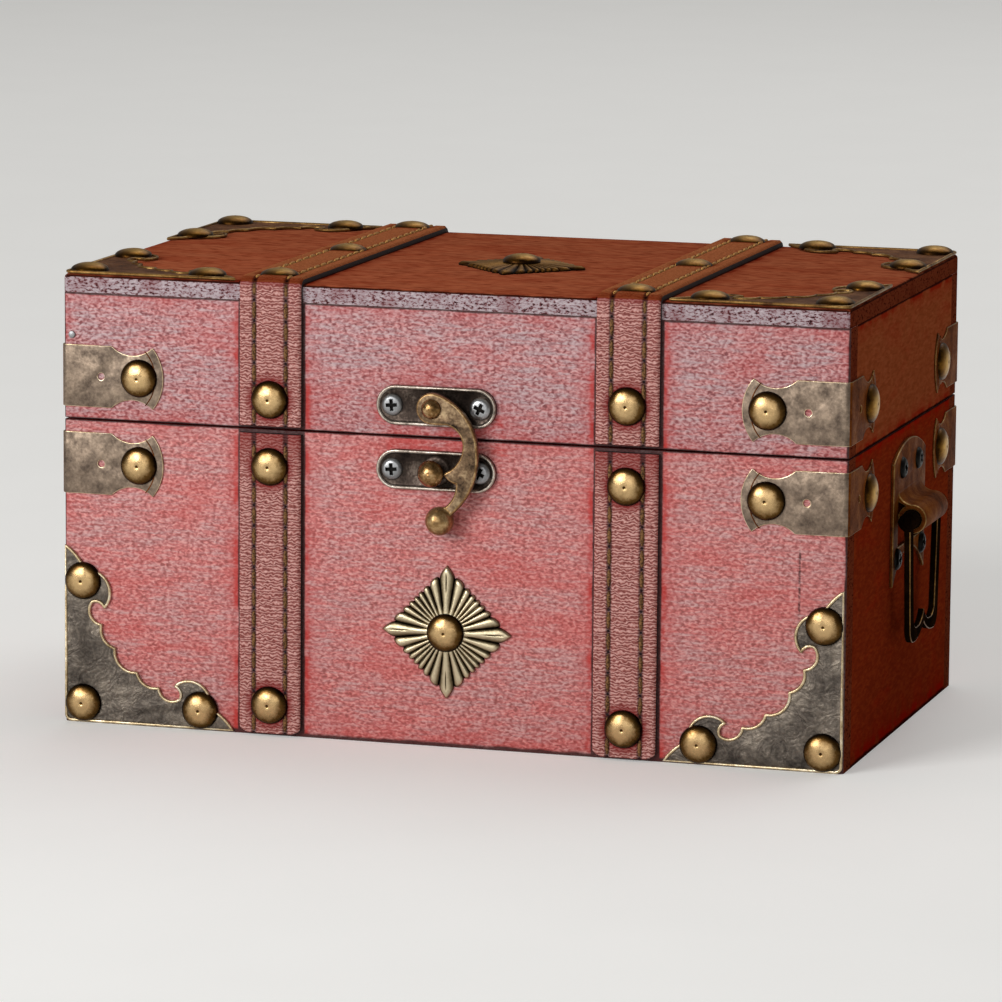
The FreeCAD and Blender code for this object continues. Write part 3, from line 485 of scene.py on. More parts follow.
@dataclass(frozen=True)
class PebbledLeather(Finish):
    """Embossed bonded leather: short creases across the strap, pale on their ridges, dark red in their folds.

    A mesh carries the attribute "stain", 0 on clean leather and 1 where wax and dirt have darkened it.
    """

    fold: str = "#6e3431"
    body: str = "#a5675f"
    ridge: str = "#cf9f98"
    hole: str = "#180a09"
    stain: str = "#7c1b19"
    crease_long_mm: float = 1.5
    crease_wide_mm: float = 0.85
    turn: float = math.pi / 10
    row_mm: float = 4.5
    pitch_mm: float = 5.7
    roughness: float = 0.5
    specular: float = 0.12
    relief_mm: float = 0.25

    def surface(self, tree: Tree) -> Socket:
        """Creases from the strap's own width and length, with painted shade in a hole at the end of every
        stitch and along the sewn groove.

        Args:
            tree: The material's nodes.

        Returns:
            The shader.
        """
        flat = add(tree, "ShaderNodeUVMap", uv_map=Straps.flat_map)
        detail = self.crease_wide_mm / self.crease_long_mm / self.turn
        wave = add(tree, "ShaderNodeTexWave", {
            "Vector": flat, "Scale": self.turn / self.crease_wide_mm, "Distortion": 7.0, "Detail": 1.0,
            "Detail Scale": detail}, out=1, bands_direction="Y")
        speck = add(tree, NOISE, {"Vector": flat, "Scale": 1 / self.crease_wide_mm, "Detail": 2.0})
        crease = add(tree, MIX, {0: 0.55, 2: wave, 3: speck})
        colour = add(tree, RAMP, [crease], stops=[(0.22, self.fold), (0.48, self.body), (0.76, self.ridge)])
        stained = add(tree, ATTRIBUTE, attribute_name="stain", out=2)
        colour = add(tree, MIX, {0: stained, 6: colour, 7: linear(self.stain)}, **COLOURS)
        across, length = (add(tree, SPLIT, [flat], out=k) for k in range(2))
        # Painted shade: the stitch holes and the sewn groove are coloured near black.
        off = add(tree, "SUBTRACT", (add(tree, "ABSOLUTE", [across]), self.row_mm))
        off = add(tree, "POWER", (off, 2.0))
        beat = add(tree, "PINGPONG", (length, self.pitch_mm / 2))
        beat = add(tree, "POWER", (beat, 2.0))
        gap = add(tree, "ADD", (off, beat))
        painted_hole_shade = add(tree, RANGE, (gap, 0.1, 0.4, 1.0, 0.0))
        groove = add(tree, RANGE, (off, 0.2, 0.9, 0.75, 0.0))
        dark = add(tree, "MAXIMUM", (painted_hole_shade, groove))
        colour = add(tree, MIX, {0: dark, 6: colour, 7: linear(self.hole)}, **COLOURS)
        return self.shade(tree, colour, self.roughness, crease, self.relief_mm, specular=self.specular)


@dataclass(frozen=True)
class CutLeather(Finish):
    """The cut side of the strap, stained nearly black, with loose fibres."""

    stain: str = "#120808"
    fibre: str = "#3a1d18"
    fibre_mm: float = 1 / 3
    roughness: float = 0.8
    relief_mm: float = 0.15

    def surface(self, tree: Tree) -> Socket:
        """Fibres at a third of a millimetre.

        Args:
            tree: The material's nodes.

        Returns:
            The shader.
        """
        spot = self.spot(tree)
        fibre = add(tree, NOISE, {"Vector": spot, "Scale": 1 / self.fibre_mm, "Detail": 3.0})
        colour = add(tree, RAMP, [fibre], stops=[(0.45, self.stain), (0.75, self.fibre)])
        return self.shade(tree, colour, self.roughness, fibre, self.relief_mm, 0.8)


@dataclass(frozen=True)
class WaxedThread(Finish):
    """Waxed cotton thread, tan with dirt in the lay."""

    light: str = "#84603a"
    dark: str = "#3a2716"
    lay_mm: float = 0.5
    roughness: float = 0.6
    specular: float = 0.12
    relief_mm: float = 0.1

    def surface(self, tree: Tree) -> Socket:
        """Fine specks at the size of the lay.

        Args:
            tree: The material's nodes.

        Returns:
            The shader.
        """
        spot = self.spot(tree)
        lay = add(tree, NOISE, {"Vector": spot, "Scale": 1 / self.lay_mm, "Detail": 2.0})
        colour = add(tree, RAMP, [lay], stops=[(0.35, self.dark), (0.62, self.light)])
        return self.shade(tree, colour, self.roughness, lay, self.relief_mm, 0.7, self.specular)


@dataclass(frozen=True)
class AgedMetal(Finish):
    """Plated steel sheet or casting with an antique patina: dark in the hollows, rubbed towards the plating.

    A mesh that has the attribute "shine", 0 in a hollow and 1 on a high spot, is darkened by it:
    in the ornaments' flutes that is patina, on the nails a painted highlight on the crown and painted shade
    towards the rim. The grit of a patina is finer than a tenth of a millimetre; it is drawn at 0.7 mm so
    that it shows.
    """

    hollow: str = "#2c2720"
    body: str = "#6a6252"
    high: str = "#8c8068"
    patch_mm: float = 7.0
    grit_mm: float = 0.7
    metallic: float = 0.85
    roughness: float = 0.42
    relief_mm: float = 0.06
    scroll_mm: float = 0.0
    specular: float = 0.5
    shaded: bool = False

    def surface(self, tree: Tree) -> Socket:
        """Patches of patina, fine grit, and where asked a shallow pressed scroll.

        Args:
            tree: The material's nodes.

        Returns:
            The shader.
        """
        spot = self.spot(tree)
        patch = add(tree, NOISE, {"Vector": spot, "Scale": 1 / self.patch_mm, "Detail": 6.0,
                                  "Roughness": 0.65})
        grit = add(tree, NOISE, {"Vector": spot, "Scale": 1 / self.grit_mm, "Detail": 3.0})
        patch = add(tree, MIX, {0: 0.25, 2: patch, 3: grit})
        worn, places = patch, (0.34, 0.5, 0.64)
        if self.shaded:
            shine = add(tree, ATTRIBUTE, attribute_name="shine", out=2)
            worn = add(tree, "ADD", (add(tree, "SUBTRACT", (patch, 0.5)), shine))
            places = (0.1, 0.5, 1.0)
        colour = add(tree, RAMP, [worn], stops=[*zip(places, (self.hollow, self.body, self.high))])
        height = grit
        if self.scroll_mm:
            curl = add(tree, NOISE, {"Vector": spot, "Scale": 1 / self.scroll_mm, "Detail": 1.5,
                                     "Distortion": 2.6})
            height = add(tree, "MULTIPLY_ADD", (curl, 4.0, grit))
            lift = add(tree, RANGE, (curl, 0.5, 0.75, 0.0, 0.4))
            colour = add(tree, MIX, {0: lift, 6: colour, 7: linear(self.high)}, **COLOURS)
        rough = add(tree, RANGE, (patch, 0.3, 0.7, self.roughness + 0.14, self.roughness - 0.08))
        return self.shade(tree, colour, rough, height, self.relief_mm, 0.8, self.specular, self.metallic)


@dataclass(frozen=True)
class PaleFloor(Finish):
    """A matt paper sweep, nearly white, lit up a little for the lens and for reflections."""

    colour: str = "#eeeeec"
    high: str = "#f0f0ee"
    tooth_mm: float = 50.0
    lift: float = 0.22
    roughness: float = 0.9
    specular: float = 0.2

    def surface(self, tree: Tree) -> Socket:
        """One plain matt tone with the least trace of paper tooth.

        Args:
            tree: The material's nodes.

        Returns:
            The shader.
        """
        spot = self.spot(tree)
        tooth = add(tree, NOISE, {"Vector": spot, "Scale": 1 / self.tooth_mm, "Detail": 2.0})
        colour = add(tree, RAMP, [tooth], stops=[(0.3, self.colour), (0.7, self.high)])
        seen: Socket | float = 0.0
        for ray in ("Is Camera Ray", "Is Glossy Ray", "Is Transmission Ray"):
            seen = add(tree, "MAXIMUM", (add(tree, "ShaderNodeLightPath", out=ray), seen))
        glow = add(tree, "MULTIPLY", (seen, self.lift))
        return add(tree, SURFACE, {
            "Base Color": colour, "Roughness": self.roughness, "Specular IOR Level": self.specular,
            "Emission Color": linear(self.colour), "Emission Strength": glow})


# Brick-red paint rubbed back by hand: rosy and dusty on the front, and more of the grey primer on the lid.
FRONT_PAINT = PaintedBoard("rubbed_brick_paint_front", bloom_high="#be9f9e", bloom_amount=0.65,
                           hairline_mm=(97.3, 39.5, 62.5))
LID_PAINT = PaintedBoard("rubbed_brick_paint_lid", deep="#824648", body="#b97372", light="#d3a1a0",
                         bloom="#a5888b", bloom_high="#bda5a7", bloom_amount=0.85)
# The same paint on the top, coloured deeper and browner than the front: partly the paint's own deeper tone,
# partly painted shade. It is quite dull.
SHADED_TOP_PAINT = PaintedBoard("brick_paint_top", side=Side.TOP, deep="#78321e", body="#a05034", light="#b05e3e",
                         bloom="#a46042", glaze="#78200f", roughness=0.65, specular=0.0, relief_mm=0.06,
                         pore_long_mm=3.6, pore_wide_mm=0.6, bloom_amount=0.5)
# The rims that meet at the seam, painted but never rubbed or dirtied: no strap lies on them. Their deep dark
# red is partly painted shade, so that the closed seam reads dark.
RIM_PAINT = PaintedBoard("brick_paint_rim", side=Side.TOP, deep="#571d19", body="#762b27", light="#8a3a34",
                         bloom="#7d3f3c", glaze="#741a16", roughness=0.6, specular=0.1, relief_mm=0.1,
                         strap_half_mm=-100.0)
# The ends: tan red on the lid, deeper red on the base, in long streaks. Their dark brown tone is painted shade
# on the front's paint.
DULL = {"side": Side.RIGHT, "roughness": 0.65, "specular": 0.0, "relief_mm": 0.06, "pore_long_mm": 3.2,
        "pore_wide_mm": 0.8, "bloom_amount": 0.3}
SHADED_LID_END_PAINT = PaintedBoard("brick_paint_lid_end", deep="#864021", body="#934828", light="#9c5030",
                             bloom="#7d3c1c", glaze="#8a1f0c", **DULL)
SHADED_BASE_END_PAINT = PaintedBoard("brick_paint_base_end", deep="#6f240e", body="#7a2911", light="#843214",
                              bloom="#6a220e", glaze="#8e1204", **DULL)
# Sawn end grain with the paint rubbed off: pale grey flecks; on the ends of the chest a browner, calmer copy
# that is painted shade.
RUBBED_END = RubbedEnd("rubbed_end_grain")
SHADED_END = RubbedEnd("stained_end_grain", primer="#73331f", paint="#5c2011", pore="#260d06", high="#70351c",
                       specular=0.0)
# Planed softwood: long straight lines, which run front to back on the end boards.
BARE_BOARD = BareBoard("planed_softwood")
BARE_END_BOARD = BareBoard("planed_softwood_end", end_board=True)
# Rolled and embossed leather on the walls: a dusty rose with a fine crosswise crease.
LEATHER = PebbledLeather("embossed_bonded_leather")
# The same leather on the top, coloured tan and with softer creases: painted warm light.
WARM_LIT_LEATHER = PebbledLeather("oiled_bonded_leather", fold="#8c4a2a", body="#a45e3a", ridge="#b26e48",
                               stain="#6a2410", specular=0.0)
# Cut and stained by knife and dauber: a dull black line along the strap, whose blackness is partly painted
# shadow.
CUT_EDGE = CutLeather("stained_leather_edge")
# Twisted cotton drawn through wax: dirty tan on the walls, and golden on the top, which is painted warm light
# and highlight.
THREAD = WaxedThread("waxed_cotton_thread")
WARM_LIT_THREAD = WaxedThread("oiled_cotton_thread", light="#cf9a55", dark="#7a4c20")
# Pressed brass with a lacquered antique stain: warm olive on the dome, a pale crown and a nearly black rim,
# which are partly wear and partly painted highlight and shade.
NAIL_BRASS = AgedMetal("stained_brass_pressing", hollow="#160d05", body="#5e4320", high="#c6a676",
                       patch_mm=3.0, metallic=1.0, roughness=0.24, relief_mm=0.02, shaded=True)
# The same pressing on the top and the ends, coloured yellower and browner with a softer painted highlight:
# painted light and shade for those faces.
SHADED_NAIL_BRASS = AgedMetal("varnished_brass_pressing", hollow="#2a1808", body="#775018", high="#c09440",
                           patch_mm=3.0, metallic=1.0, roughness=0.32, relief_mm=0.02, shaded=True)
# Stamped steel, bronze plated and blackened: grey with a warm cast.
PLATE_BRONZE = AgedMetal("blackened_bronze_stamping", hollow="#38322d", body="#5b534b", high="#7c7266",
                         scroll_mm=5.0, relief_mm=0.14, roughness=0.5, metallic=0.8)
# Folded strip with a thinner antique bronze: paler than the plates, and cloudy.
BRACKET_BRONZE = AgedMetal("antique_bronze_strip", hollow="#53463c", body="#7a6a5b", high="#9b8875",
                           roughness=0.48, metallic=0.8, patch_mm=3.6)
# The same metals on the ends and the top, coloured brown and dark: painted shade. They no longer mirror.
SHADED_BRONZE = AgedMetal("varnished_bronze_strip", hollow="#3a1b08", body="#6c360f", high="#8a501c",
                             roughness=0.5, metallic=0.0, specular=0.02)
SHADED_PLATE_BRONZE = AgedMetal("varnished_bronze_stamping", hollow="#301909", body="#5f371a", high="#7d522c",
                            scroll_mm=5.0, relief_mm=0.14, roughness=0.55, metallic=0.1, specular=0.08)
SHADED_EDGE_BRONZE = AgedMetal("varnished_bronze_edge", hollow="#4a2c12", body="#83602f", high="#a98750",
                           roughness=0.42, metallic=0.8)
# Edges of the stampings, where handling has polished the plating back to pale gold.
POLISHED_RIM = AgedMetal("polished_brass_rim", hollow="#8a7656", body="#ccb792", high="#e8dcc2", patch_mm=4.0,
                         metallic=1.0, roughness=0.34)
# The latch: sand-cast zinc with a bronze wash that gathers in its hollows, rubbed golden on rounded edges.
CAST_BRONZE = AgedMetal("bronze_washed_casting", hollow="#21170e", body="#6c5640", high="#a8906f",
                        roughness=0.36, metallic=0.85, patch_mm=5.0)
RUBBED_CASTING = AgedMetal("rubbed_bronze_edge", hollow="#5a4228", body="#94744a", high="#c4a678",
                           roughness=0.3, metallic=0.8, patch_mm=3.0)
# The wash left standing in the dished plates: dark, with a dull gleam.
LATCH_FLOOR = AgedMetal("bronze_wash_in_hollow", hollow="#16100d", body="#3a302a", high="#71645a",
                        roughness=0.38, metallic=0.9)
# Their rolled rims, rubbed through the wash to bare zinc: a bright silver-grey line.
PEWTER_RIM = AgedMetal("rubbed_zinc_rim", hollow="#6c6259", body="#ab9f92", high="#dcd3c8", patch_mm=4.0,
                       metallic=1.0, roughness=0.34)
# Turned brass burnished by the hook: small sharp golden highlights.
RIVET_BRASS = AgedMetal("burnished_brass_rivet", hollow="#3a2814", body="#87663f", high="#c6a67a",
                        roughness=0.24, metallic=1.0, patch_mm=3.0)
# Bent strip blackened in oil: the bails read as black, with brown light only along the rubbed edge.
DARK_BRONZE = AgedMetal("blackened_bronze_strip", hollow="#090503", body="#150c06", high="#27180c",
                        roughness=0.4, metallic=0.0, specular=0.0)
RUBBED_DARK = AgedMetal("rubbed_dark_edge", hollow="#38240f", body="#6c4a22", high="#a07a40", roughness=0.34,
                        metallic=1.0)
# Pressed sheet with an antique gold wash wiped off the rays: pale gold ridges over black flutes.
FLUTED_GOLD = AgedMetal("antique_gold_pressing", hollow="#120c07", body="#77694f", high="#c9bb9c",
                        metallic=1.0, roughness=0.33, shaded=True)
# The same pressing on the top, coloured dark brown: painted shade.
SHADED_GOLD = AgedMetal("varnished_gold_pressing", hollow="#0d0703", body="#44290e", high="#855f2c",
                           metallic=1.0, roughness=0.5, shaded=True)
# Bright zinc plate on rolled steel: even, cool and grey.
ZINC = AgedMetal("zinc_plated_steel", hollow="#7c7c7d", body="#929394", high="#a8a9aa", roughness=0.36,
                 metallic=1.0, patch_mm=9.0)
# Steel blackened in oil: near black with a soft sheen.
BLACK_STEEL = AgedMetal("blackened_steel", hollow="#060606", body="#100e0c", high="#1c1813", roughness=0.42)
# Rolled paper: no pattern that the eye could hold on to.
FLOOR = PaleFloor("matt_paper_sweep")


@dataclass
class Chest:
    """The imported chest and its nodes."""

    nodes: dict[str, bpy.types.Object]

    @staticmethod
    def wood() -> tuple[Vector, Vector]:
        """The space that the boards fill.

        Returns:
            The lowest and highest corner of the wooden box.
        """
        floor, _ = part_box("base_front_panel")
        low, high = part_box("lid_top_panel")
        return Vector((low.x, low.y, floor.z)), high

    def side_of(self, place: Vector) -> Side:
        """Which face of the chest a place lies on.

        Args:
            place: A place on or near the outside of the chest.

        Returns:
            The nearest face.
        """
        low, high = self.wood()

        def away(side: Side) -> float:
            """How far the place is from one face."""
            corner = high if sum(side.value) > 0 else low
            return abs((place - corner).dot(side.out))

        return min(Side, key=away)

    def islands(self, node: str) -> list[list[Vector]]:
        """Take a group of alike solids apart.

        Args:
            node: The group's node.

        Returns:
            The corners of each separate solid.
        """
        bm = self.welded(node)
        seen: set[int] = set()
        found = []
        for seed in bm.verts:
            if seed.index in seen:
                continue
            seen.add(seed.index)
            queue, group = [seed], []
            while queue:
                vert = queue.pop()
                group.append(vert.co.copy())
                for edge in vert.link_edges:
                    other = edge.other_vert(vert)
                    if other.index not in seen:
                        seen.add(other.index)
                        queue.append(other)
            found.append(group)
        bm.free()
        return found

    def welded(self, node: str) -> Mesh:
        """Copy a node's mesh and join its corners.

        Args:
            node: The node.

        Returns:
            The copy, for the caller to free.
        """
        bm = bmesh.new()
        bm.from_mesh(self.nodes[node].data)
        bmesh.ops.remove_doubles(bm, verts=bm.verts[:], dist=WELD)
        bm.verts.index_update()
        return bm

    def place(self, name: str, mesh: bpy.types.Mesh, finishes: Sequence[Finish], slot: Slot, body: str,
              stands_for: Sequence[str] = (), smooth_deg: float = 40.0) -> bpy.types.Object:
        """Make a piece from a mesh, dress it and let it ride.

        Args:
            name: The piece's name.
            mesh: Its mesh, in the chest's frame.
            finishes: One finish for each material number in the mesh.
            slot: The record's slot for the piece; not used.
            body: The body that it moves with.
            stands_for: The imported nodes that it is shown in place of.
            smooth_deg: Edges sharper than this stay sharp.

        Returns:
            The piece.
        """
        for finish in finishes:
            mesh.materials.append(finish.material())
        for polygon in mesh.polygons:
            polygon.use_smooth = True
        mesh.set_sharp_from_angle(angle=math.radians(smooth_deg))
        piece = bpy.data.objects.new(name, mesh)
        bpy.context.scene.collection.objects.link(piece)
        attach(piece, body)
        if stands_for:
            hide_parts(*stands_for)
        LOG.info("%s rides on %s, %d faces", name, body, len(mesh.polygons))
        return piece


def mesh_from(bm: Mesh, name: str) -> bpy.types.Mesh:
    """Turn a finished bmesh into a mesh and free it.

    Args:
        bm: The bmesh.
        name: The mesh's name.

    Returns:
        The mesh, with its faces looking out.
    """
    bmesh.ops.recalc_face_normals(bm, faces=bm.faces[:])
    mesh = bpy.data.meshes.new(name)
    bm.to_mesh(mesh)
    bm.free()
    return mesh


def sharp_edges(bm: Mesh, degrees: float) -> list[Edge]:
    """The edges where two faces meet at more than an angle."""
    limit = math.radians(degrees)
    return [e for e in bm.edges if len(e.link_faces) == 2 and e.calc_face_angle(0.0) > limit]


def eased(bm: Mesh, edges: Iterable[Edge], width: float, segments: int, finish: int = -1) -> None:
    """Round a set of edges over.

    Args:
        bm: The mesh to change.
        edges: Its edges to round.
        width: How far the rounding reaches along each face.
        segments: Faces across the rounding.
        finish: The material number for the new faces, or -1 to take it from their neighbours.
    """
    bmesh.ops.bevel(bm, geom=list(edges), offset=width, offset_type="OFFSET", segments=segments, profile=0.5,
                    affect="EDGES", clamp_overlap=False, loop_slide=True, material=finish)


def banded(bm: Mesh, lower: list[Vert], upper: list[Vert]) -> list[Face]:
    """Join two closed loops of as many vertices with a band of faces."""
    pairs = [(k, (k + 1) % len(lower)) for k in range(len(lower))]
    return [bm.faces.new((lower[k], lower[n], upper[n], upper[k])) for k, n in pairs]


def tube(bm: Mesh, line: list[Vector], out: Vector, radius: float, sides: int, closed: bool) -> None:
    """A round bead along a line on a face.

    Args:
        bm: The mesh that it is added to.
        line: Places along its middle.
        out: The way that the face looks.
        radius: The bead's radius.
        sides: Faces round the bead.
        closed: Whether the line comes back to its start.
    """
    count = len(line)
    turns = [2 * math.pi * n / sides for n in range(sides)]
    rings = []
    for k, here in enumerate(line):
        ahead = line[(k + 1) % count] if closed or k < count - 1 else here
        behind = line[k - 1] if closed or k else here
        along = ((ahead - here).normalized() + (here - behind).normalized()).normalized()
        across = along.cross(out)
        spots = [here + (across * math.cos(t) + out * math.sin(t)) * radius for t in turns]
        rings.append([bm.verts.new(spot) for spot in spots])
    for k in range(count if closed else count - 1):
        banded(bm, rings[k], rings[(k + 1) % count])
    if not closed:
        bm.faces.new(rings[0][::-1])
        bm.faces.new(rings[-1])


def standing(foot: Vector, side: Side) -> Matrix:
    """Turn a shape drawn with +Z out and +Y up, so that it stands on a face of the chest.

    Args:
        foot: Where its origin goes.
        side: The face.

    Returns:
        The matrix that puts it there.
    """
    out = side.out
    up = Vector((0, 0, 1)) if side.upright else Vector((0, 1, 0))
    turn = Matrix((up.cross(out), up, out)).transposed().to_4x4()
    return Matrix.Translation(foot) @ turn


def circle(bm: Mesh, radius: float, height: float, count: int, stand: Matrix) -> list[Vert]:
    """A ring of new vertices about +Z.

    Args:
        bm: The mesh that it is added to.
        radius: The ring's radius.
        height: How high it lies.
        count: How many vertices it has.
        stand: Where the shape goes.

    Returns:
        The vertices in order.
    """
    turns = [2 * math.pi * k / count for k in range(count)]
    spots = [Vector((radius * math.cos(t), radius * math.sin(t), height)) for t in turns]
    return [bm.verts.new(stand @ spot) for spot in spots]


def revolved(bm: Mesh, profile: Sequence[tuple[float, float]], count: int, stand: Matrix) -> list[list[Vert]]:
    """Spin a profile of (radius, height) from its rim to its top about +Z.

    Args:
        bm: The mesh that it is added to.
        profile: Pairs in metres; the last one lies on the axis.
        count: Steps round the axis.
        stand: Where the shape goes.

    Returns:
        The new vertices, ring by ring, with the top last.
    """
    rings = [circle(bm, radius, height, count, stand) for radius, height in profile[:-1]]
    top = bm.verts.new(stand @ Vector((0, 0, profile[-1][1])))
    for lower, upper in zip(rings, rings[1:]):
        banded(bm, lower, upper)
    for k in range(count):
        bm.faces.new((rings[-1][k], rings[-1][(k + 1) % count], top))
    bm.faces.new(rings[0][::-1])
    return rings + [[top]]


def seat_of(chest: Chest, corners: list[Vector], rise: float) -> tuple[Vector, Side]:
    """Where a fastener's head sits.

    Args:
        chest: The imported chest.
        corners: The corners of its solid.
        rise: How high its head stands.

    Returns:
        The middle of the underside of the head, and the face that it is on.
    """
    low = Vector(min(c[k] for c in corners) for k in range(3))
    high = Vector(max(c[k] for c in corners) for k in range(3))
    middle = (low + high) / 2
    side = chest.side_of(middle)
    tip = max(c.dot(side.out) for c in corners)
    return middle + side.out * (tip - rise - middle.dot(side.out)), side


@dataclass
class Boards:
    """The ten painted boards, with eased outside edges."""

    corner: float = 1.2 * MM
    corner_steps: int = 4
    arris: float = 0.12 * MM
    arris_steps: int = 2
    arris_deg: float = 50.0
    rim_clear: float = 10 * MM
    skin: float = 1.0 * MM
    brad: Vector = Vector((-107.5, -65.0, 107.4)) * MM
    brad_radius: float = 1.0 * MM
    brad_rise: float = 0.6 * MM
    brad_steps: int = 16

    def build(self, chest: Chest) -> None:
        """Make every board from the box of its solid.

        Args:
            chest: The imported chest.
        """
        for level in ("base", "lid"):
            for side in (Side.FRONT, Side.BACK, Side.LEFT, Side.RIGHT):
                self.board(chest, f"{level}_{side.label}_panel", level, side)
        self.board(chest, "lid_top_panel", "lid", Side.TOP)
        self.board(chest, "base_bottom_panel", "base", Side.UNDER)
        self.brad_head(chest)

    def brad_head(self, chest: Chest) -> None:
        """The one brad whose head shows through the paint, near the lid's front left corner.

        Args:
            chest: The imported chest.
        """
        bm = bmesh.new()
        r, h = self.brad_radius, self.brad_rise
        profile = [(r, 0.0), (r, h * 0.4), (r * 0.9, h * 0.8), (r * 0.6, h), (0.0, h)]
        revolved(bm, profile, self.brad_steps, standing(self.brad, Side.FRONT))
        chest.place("lid_front_brad", mesh_from(bm, "brad"), [ZINC], Slot.ZINC, "lid")

    def board(self, chest: Chest, node: str, body: str, side: Side) -> None:
        """One board: paint on the face that looks out, rubbed ends, bare wood inside.

        Args:
            chest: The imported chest.
            node: The board's solid.
            body: The body that it rides on.
            side: The way that its painted face looks.
        """
        low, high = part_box(node)
        bm = bmesh.new()
        fitted = Matrix.Translation((low + high) / 2) @ Matrix.Diagonal((*(high - low), 1))
        bmesh.ops.create_cube(bm, size=1.0, matrix=fitted)
        outer_low, outer_high = chest.wood()
        outer = [e for e in bm.edges if self.outside(e, outer_low, outer_high)]
        eased(bm, outer, self.corner, self.corner_steps)
        eased(bm, sharp_edges(bm, self.arris_deg), self.arris, self.arris_steps)
        # The top and the ends take darker, browner copies of the paint, and the ends' grain a browner copy of
        # the rubbed edge: painted shade (on the top partly the paint's own deeper tone).
        walls, ends = (LID_PAINT, SHADED_LID_END_PAINT) if body == "lid" else (FRONT_PAINT, SHADED_BASE_END_PAINT)
        paint = {Side.TOP: SHADED_TOP_PAINT, Side.LEFT: ends, Side.RIGHT: ends, Side.UNDER: BARE_BOARD}
        bare = BARE_END_BOARD if side in (Side.LEFT, Side.RIGHT) else BARE_BOARD
        finishes = [paint.get(side, walls), RUBBED_END, bare, SHADED_END, RIM_PAINT]
        bm.normal_update()
        for face in bm.faces:
            face.material_index = self.finish_of(face, side, outer_low, outer_high)
        chest.place(f"{node}_board", mesh_from(bm, node), finishes, Slot.WOOD, body, [node])

    @staticmethod
    def outside(edge: Edge, low: Vector, high: Vector) -> bool:
        """Whether an edge lies on two outside faces of the chest, and isn't at its foot.

        Args:
            edge: An edge of a board.
            low: The lowest corner of the wooden box.
            high: Its highest corner.

        Returns:
            True if it is to be rounded.
        """
        middle = (edge.verts[0].co + edge.verts[1].co) / 2
        touches = [abs(middle.x - low.x) < WELD or abs(middle.x - high.x) < WELD,
                   abs(middle.y - low.y) < WELD or abs(middle.y - high.y) < WELD,
                   abs(middle.z - high.z) < WELD]
        return sum(touches) >= 2

    def finish_of(self, face: Face, side: Side, low: Vector, high: Vector) -> int:
        """Choose a face's finish from where it lies and looks.

        Args:
            face: A face of a board.
            side: The way that the board's painted face looks.
            low: The lowest corner of the wooden box.
            high: Its highest corner.

        Returns:
            0 for the painted face, 4 for the rim, 1 or 3 for an edge at the front or ends, 2 for the rest.
        """
        middle = face.calc_center_median()
        between = low.z + self.rim_clear < middle.z < high.z - self.rim_clear
        if side.upright and abs(face.normal.z) > 0.5 and between:
            return 4
        if face.normal.dot(side.out) > 0.2:
            return 0
        inside = all(low[k] + self.skin < middle[k] < high[k] - self.skin for k in range(2))
        if inside or face.normal.z < -0.9:
            return 2
        return 3 if abs(face.normal.x) > 0.7 else 1


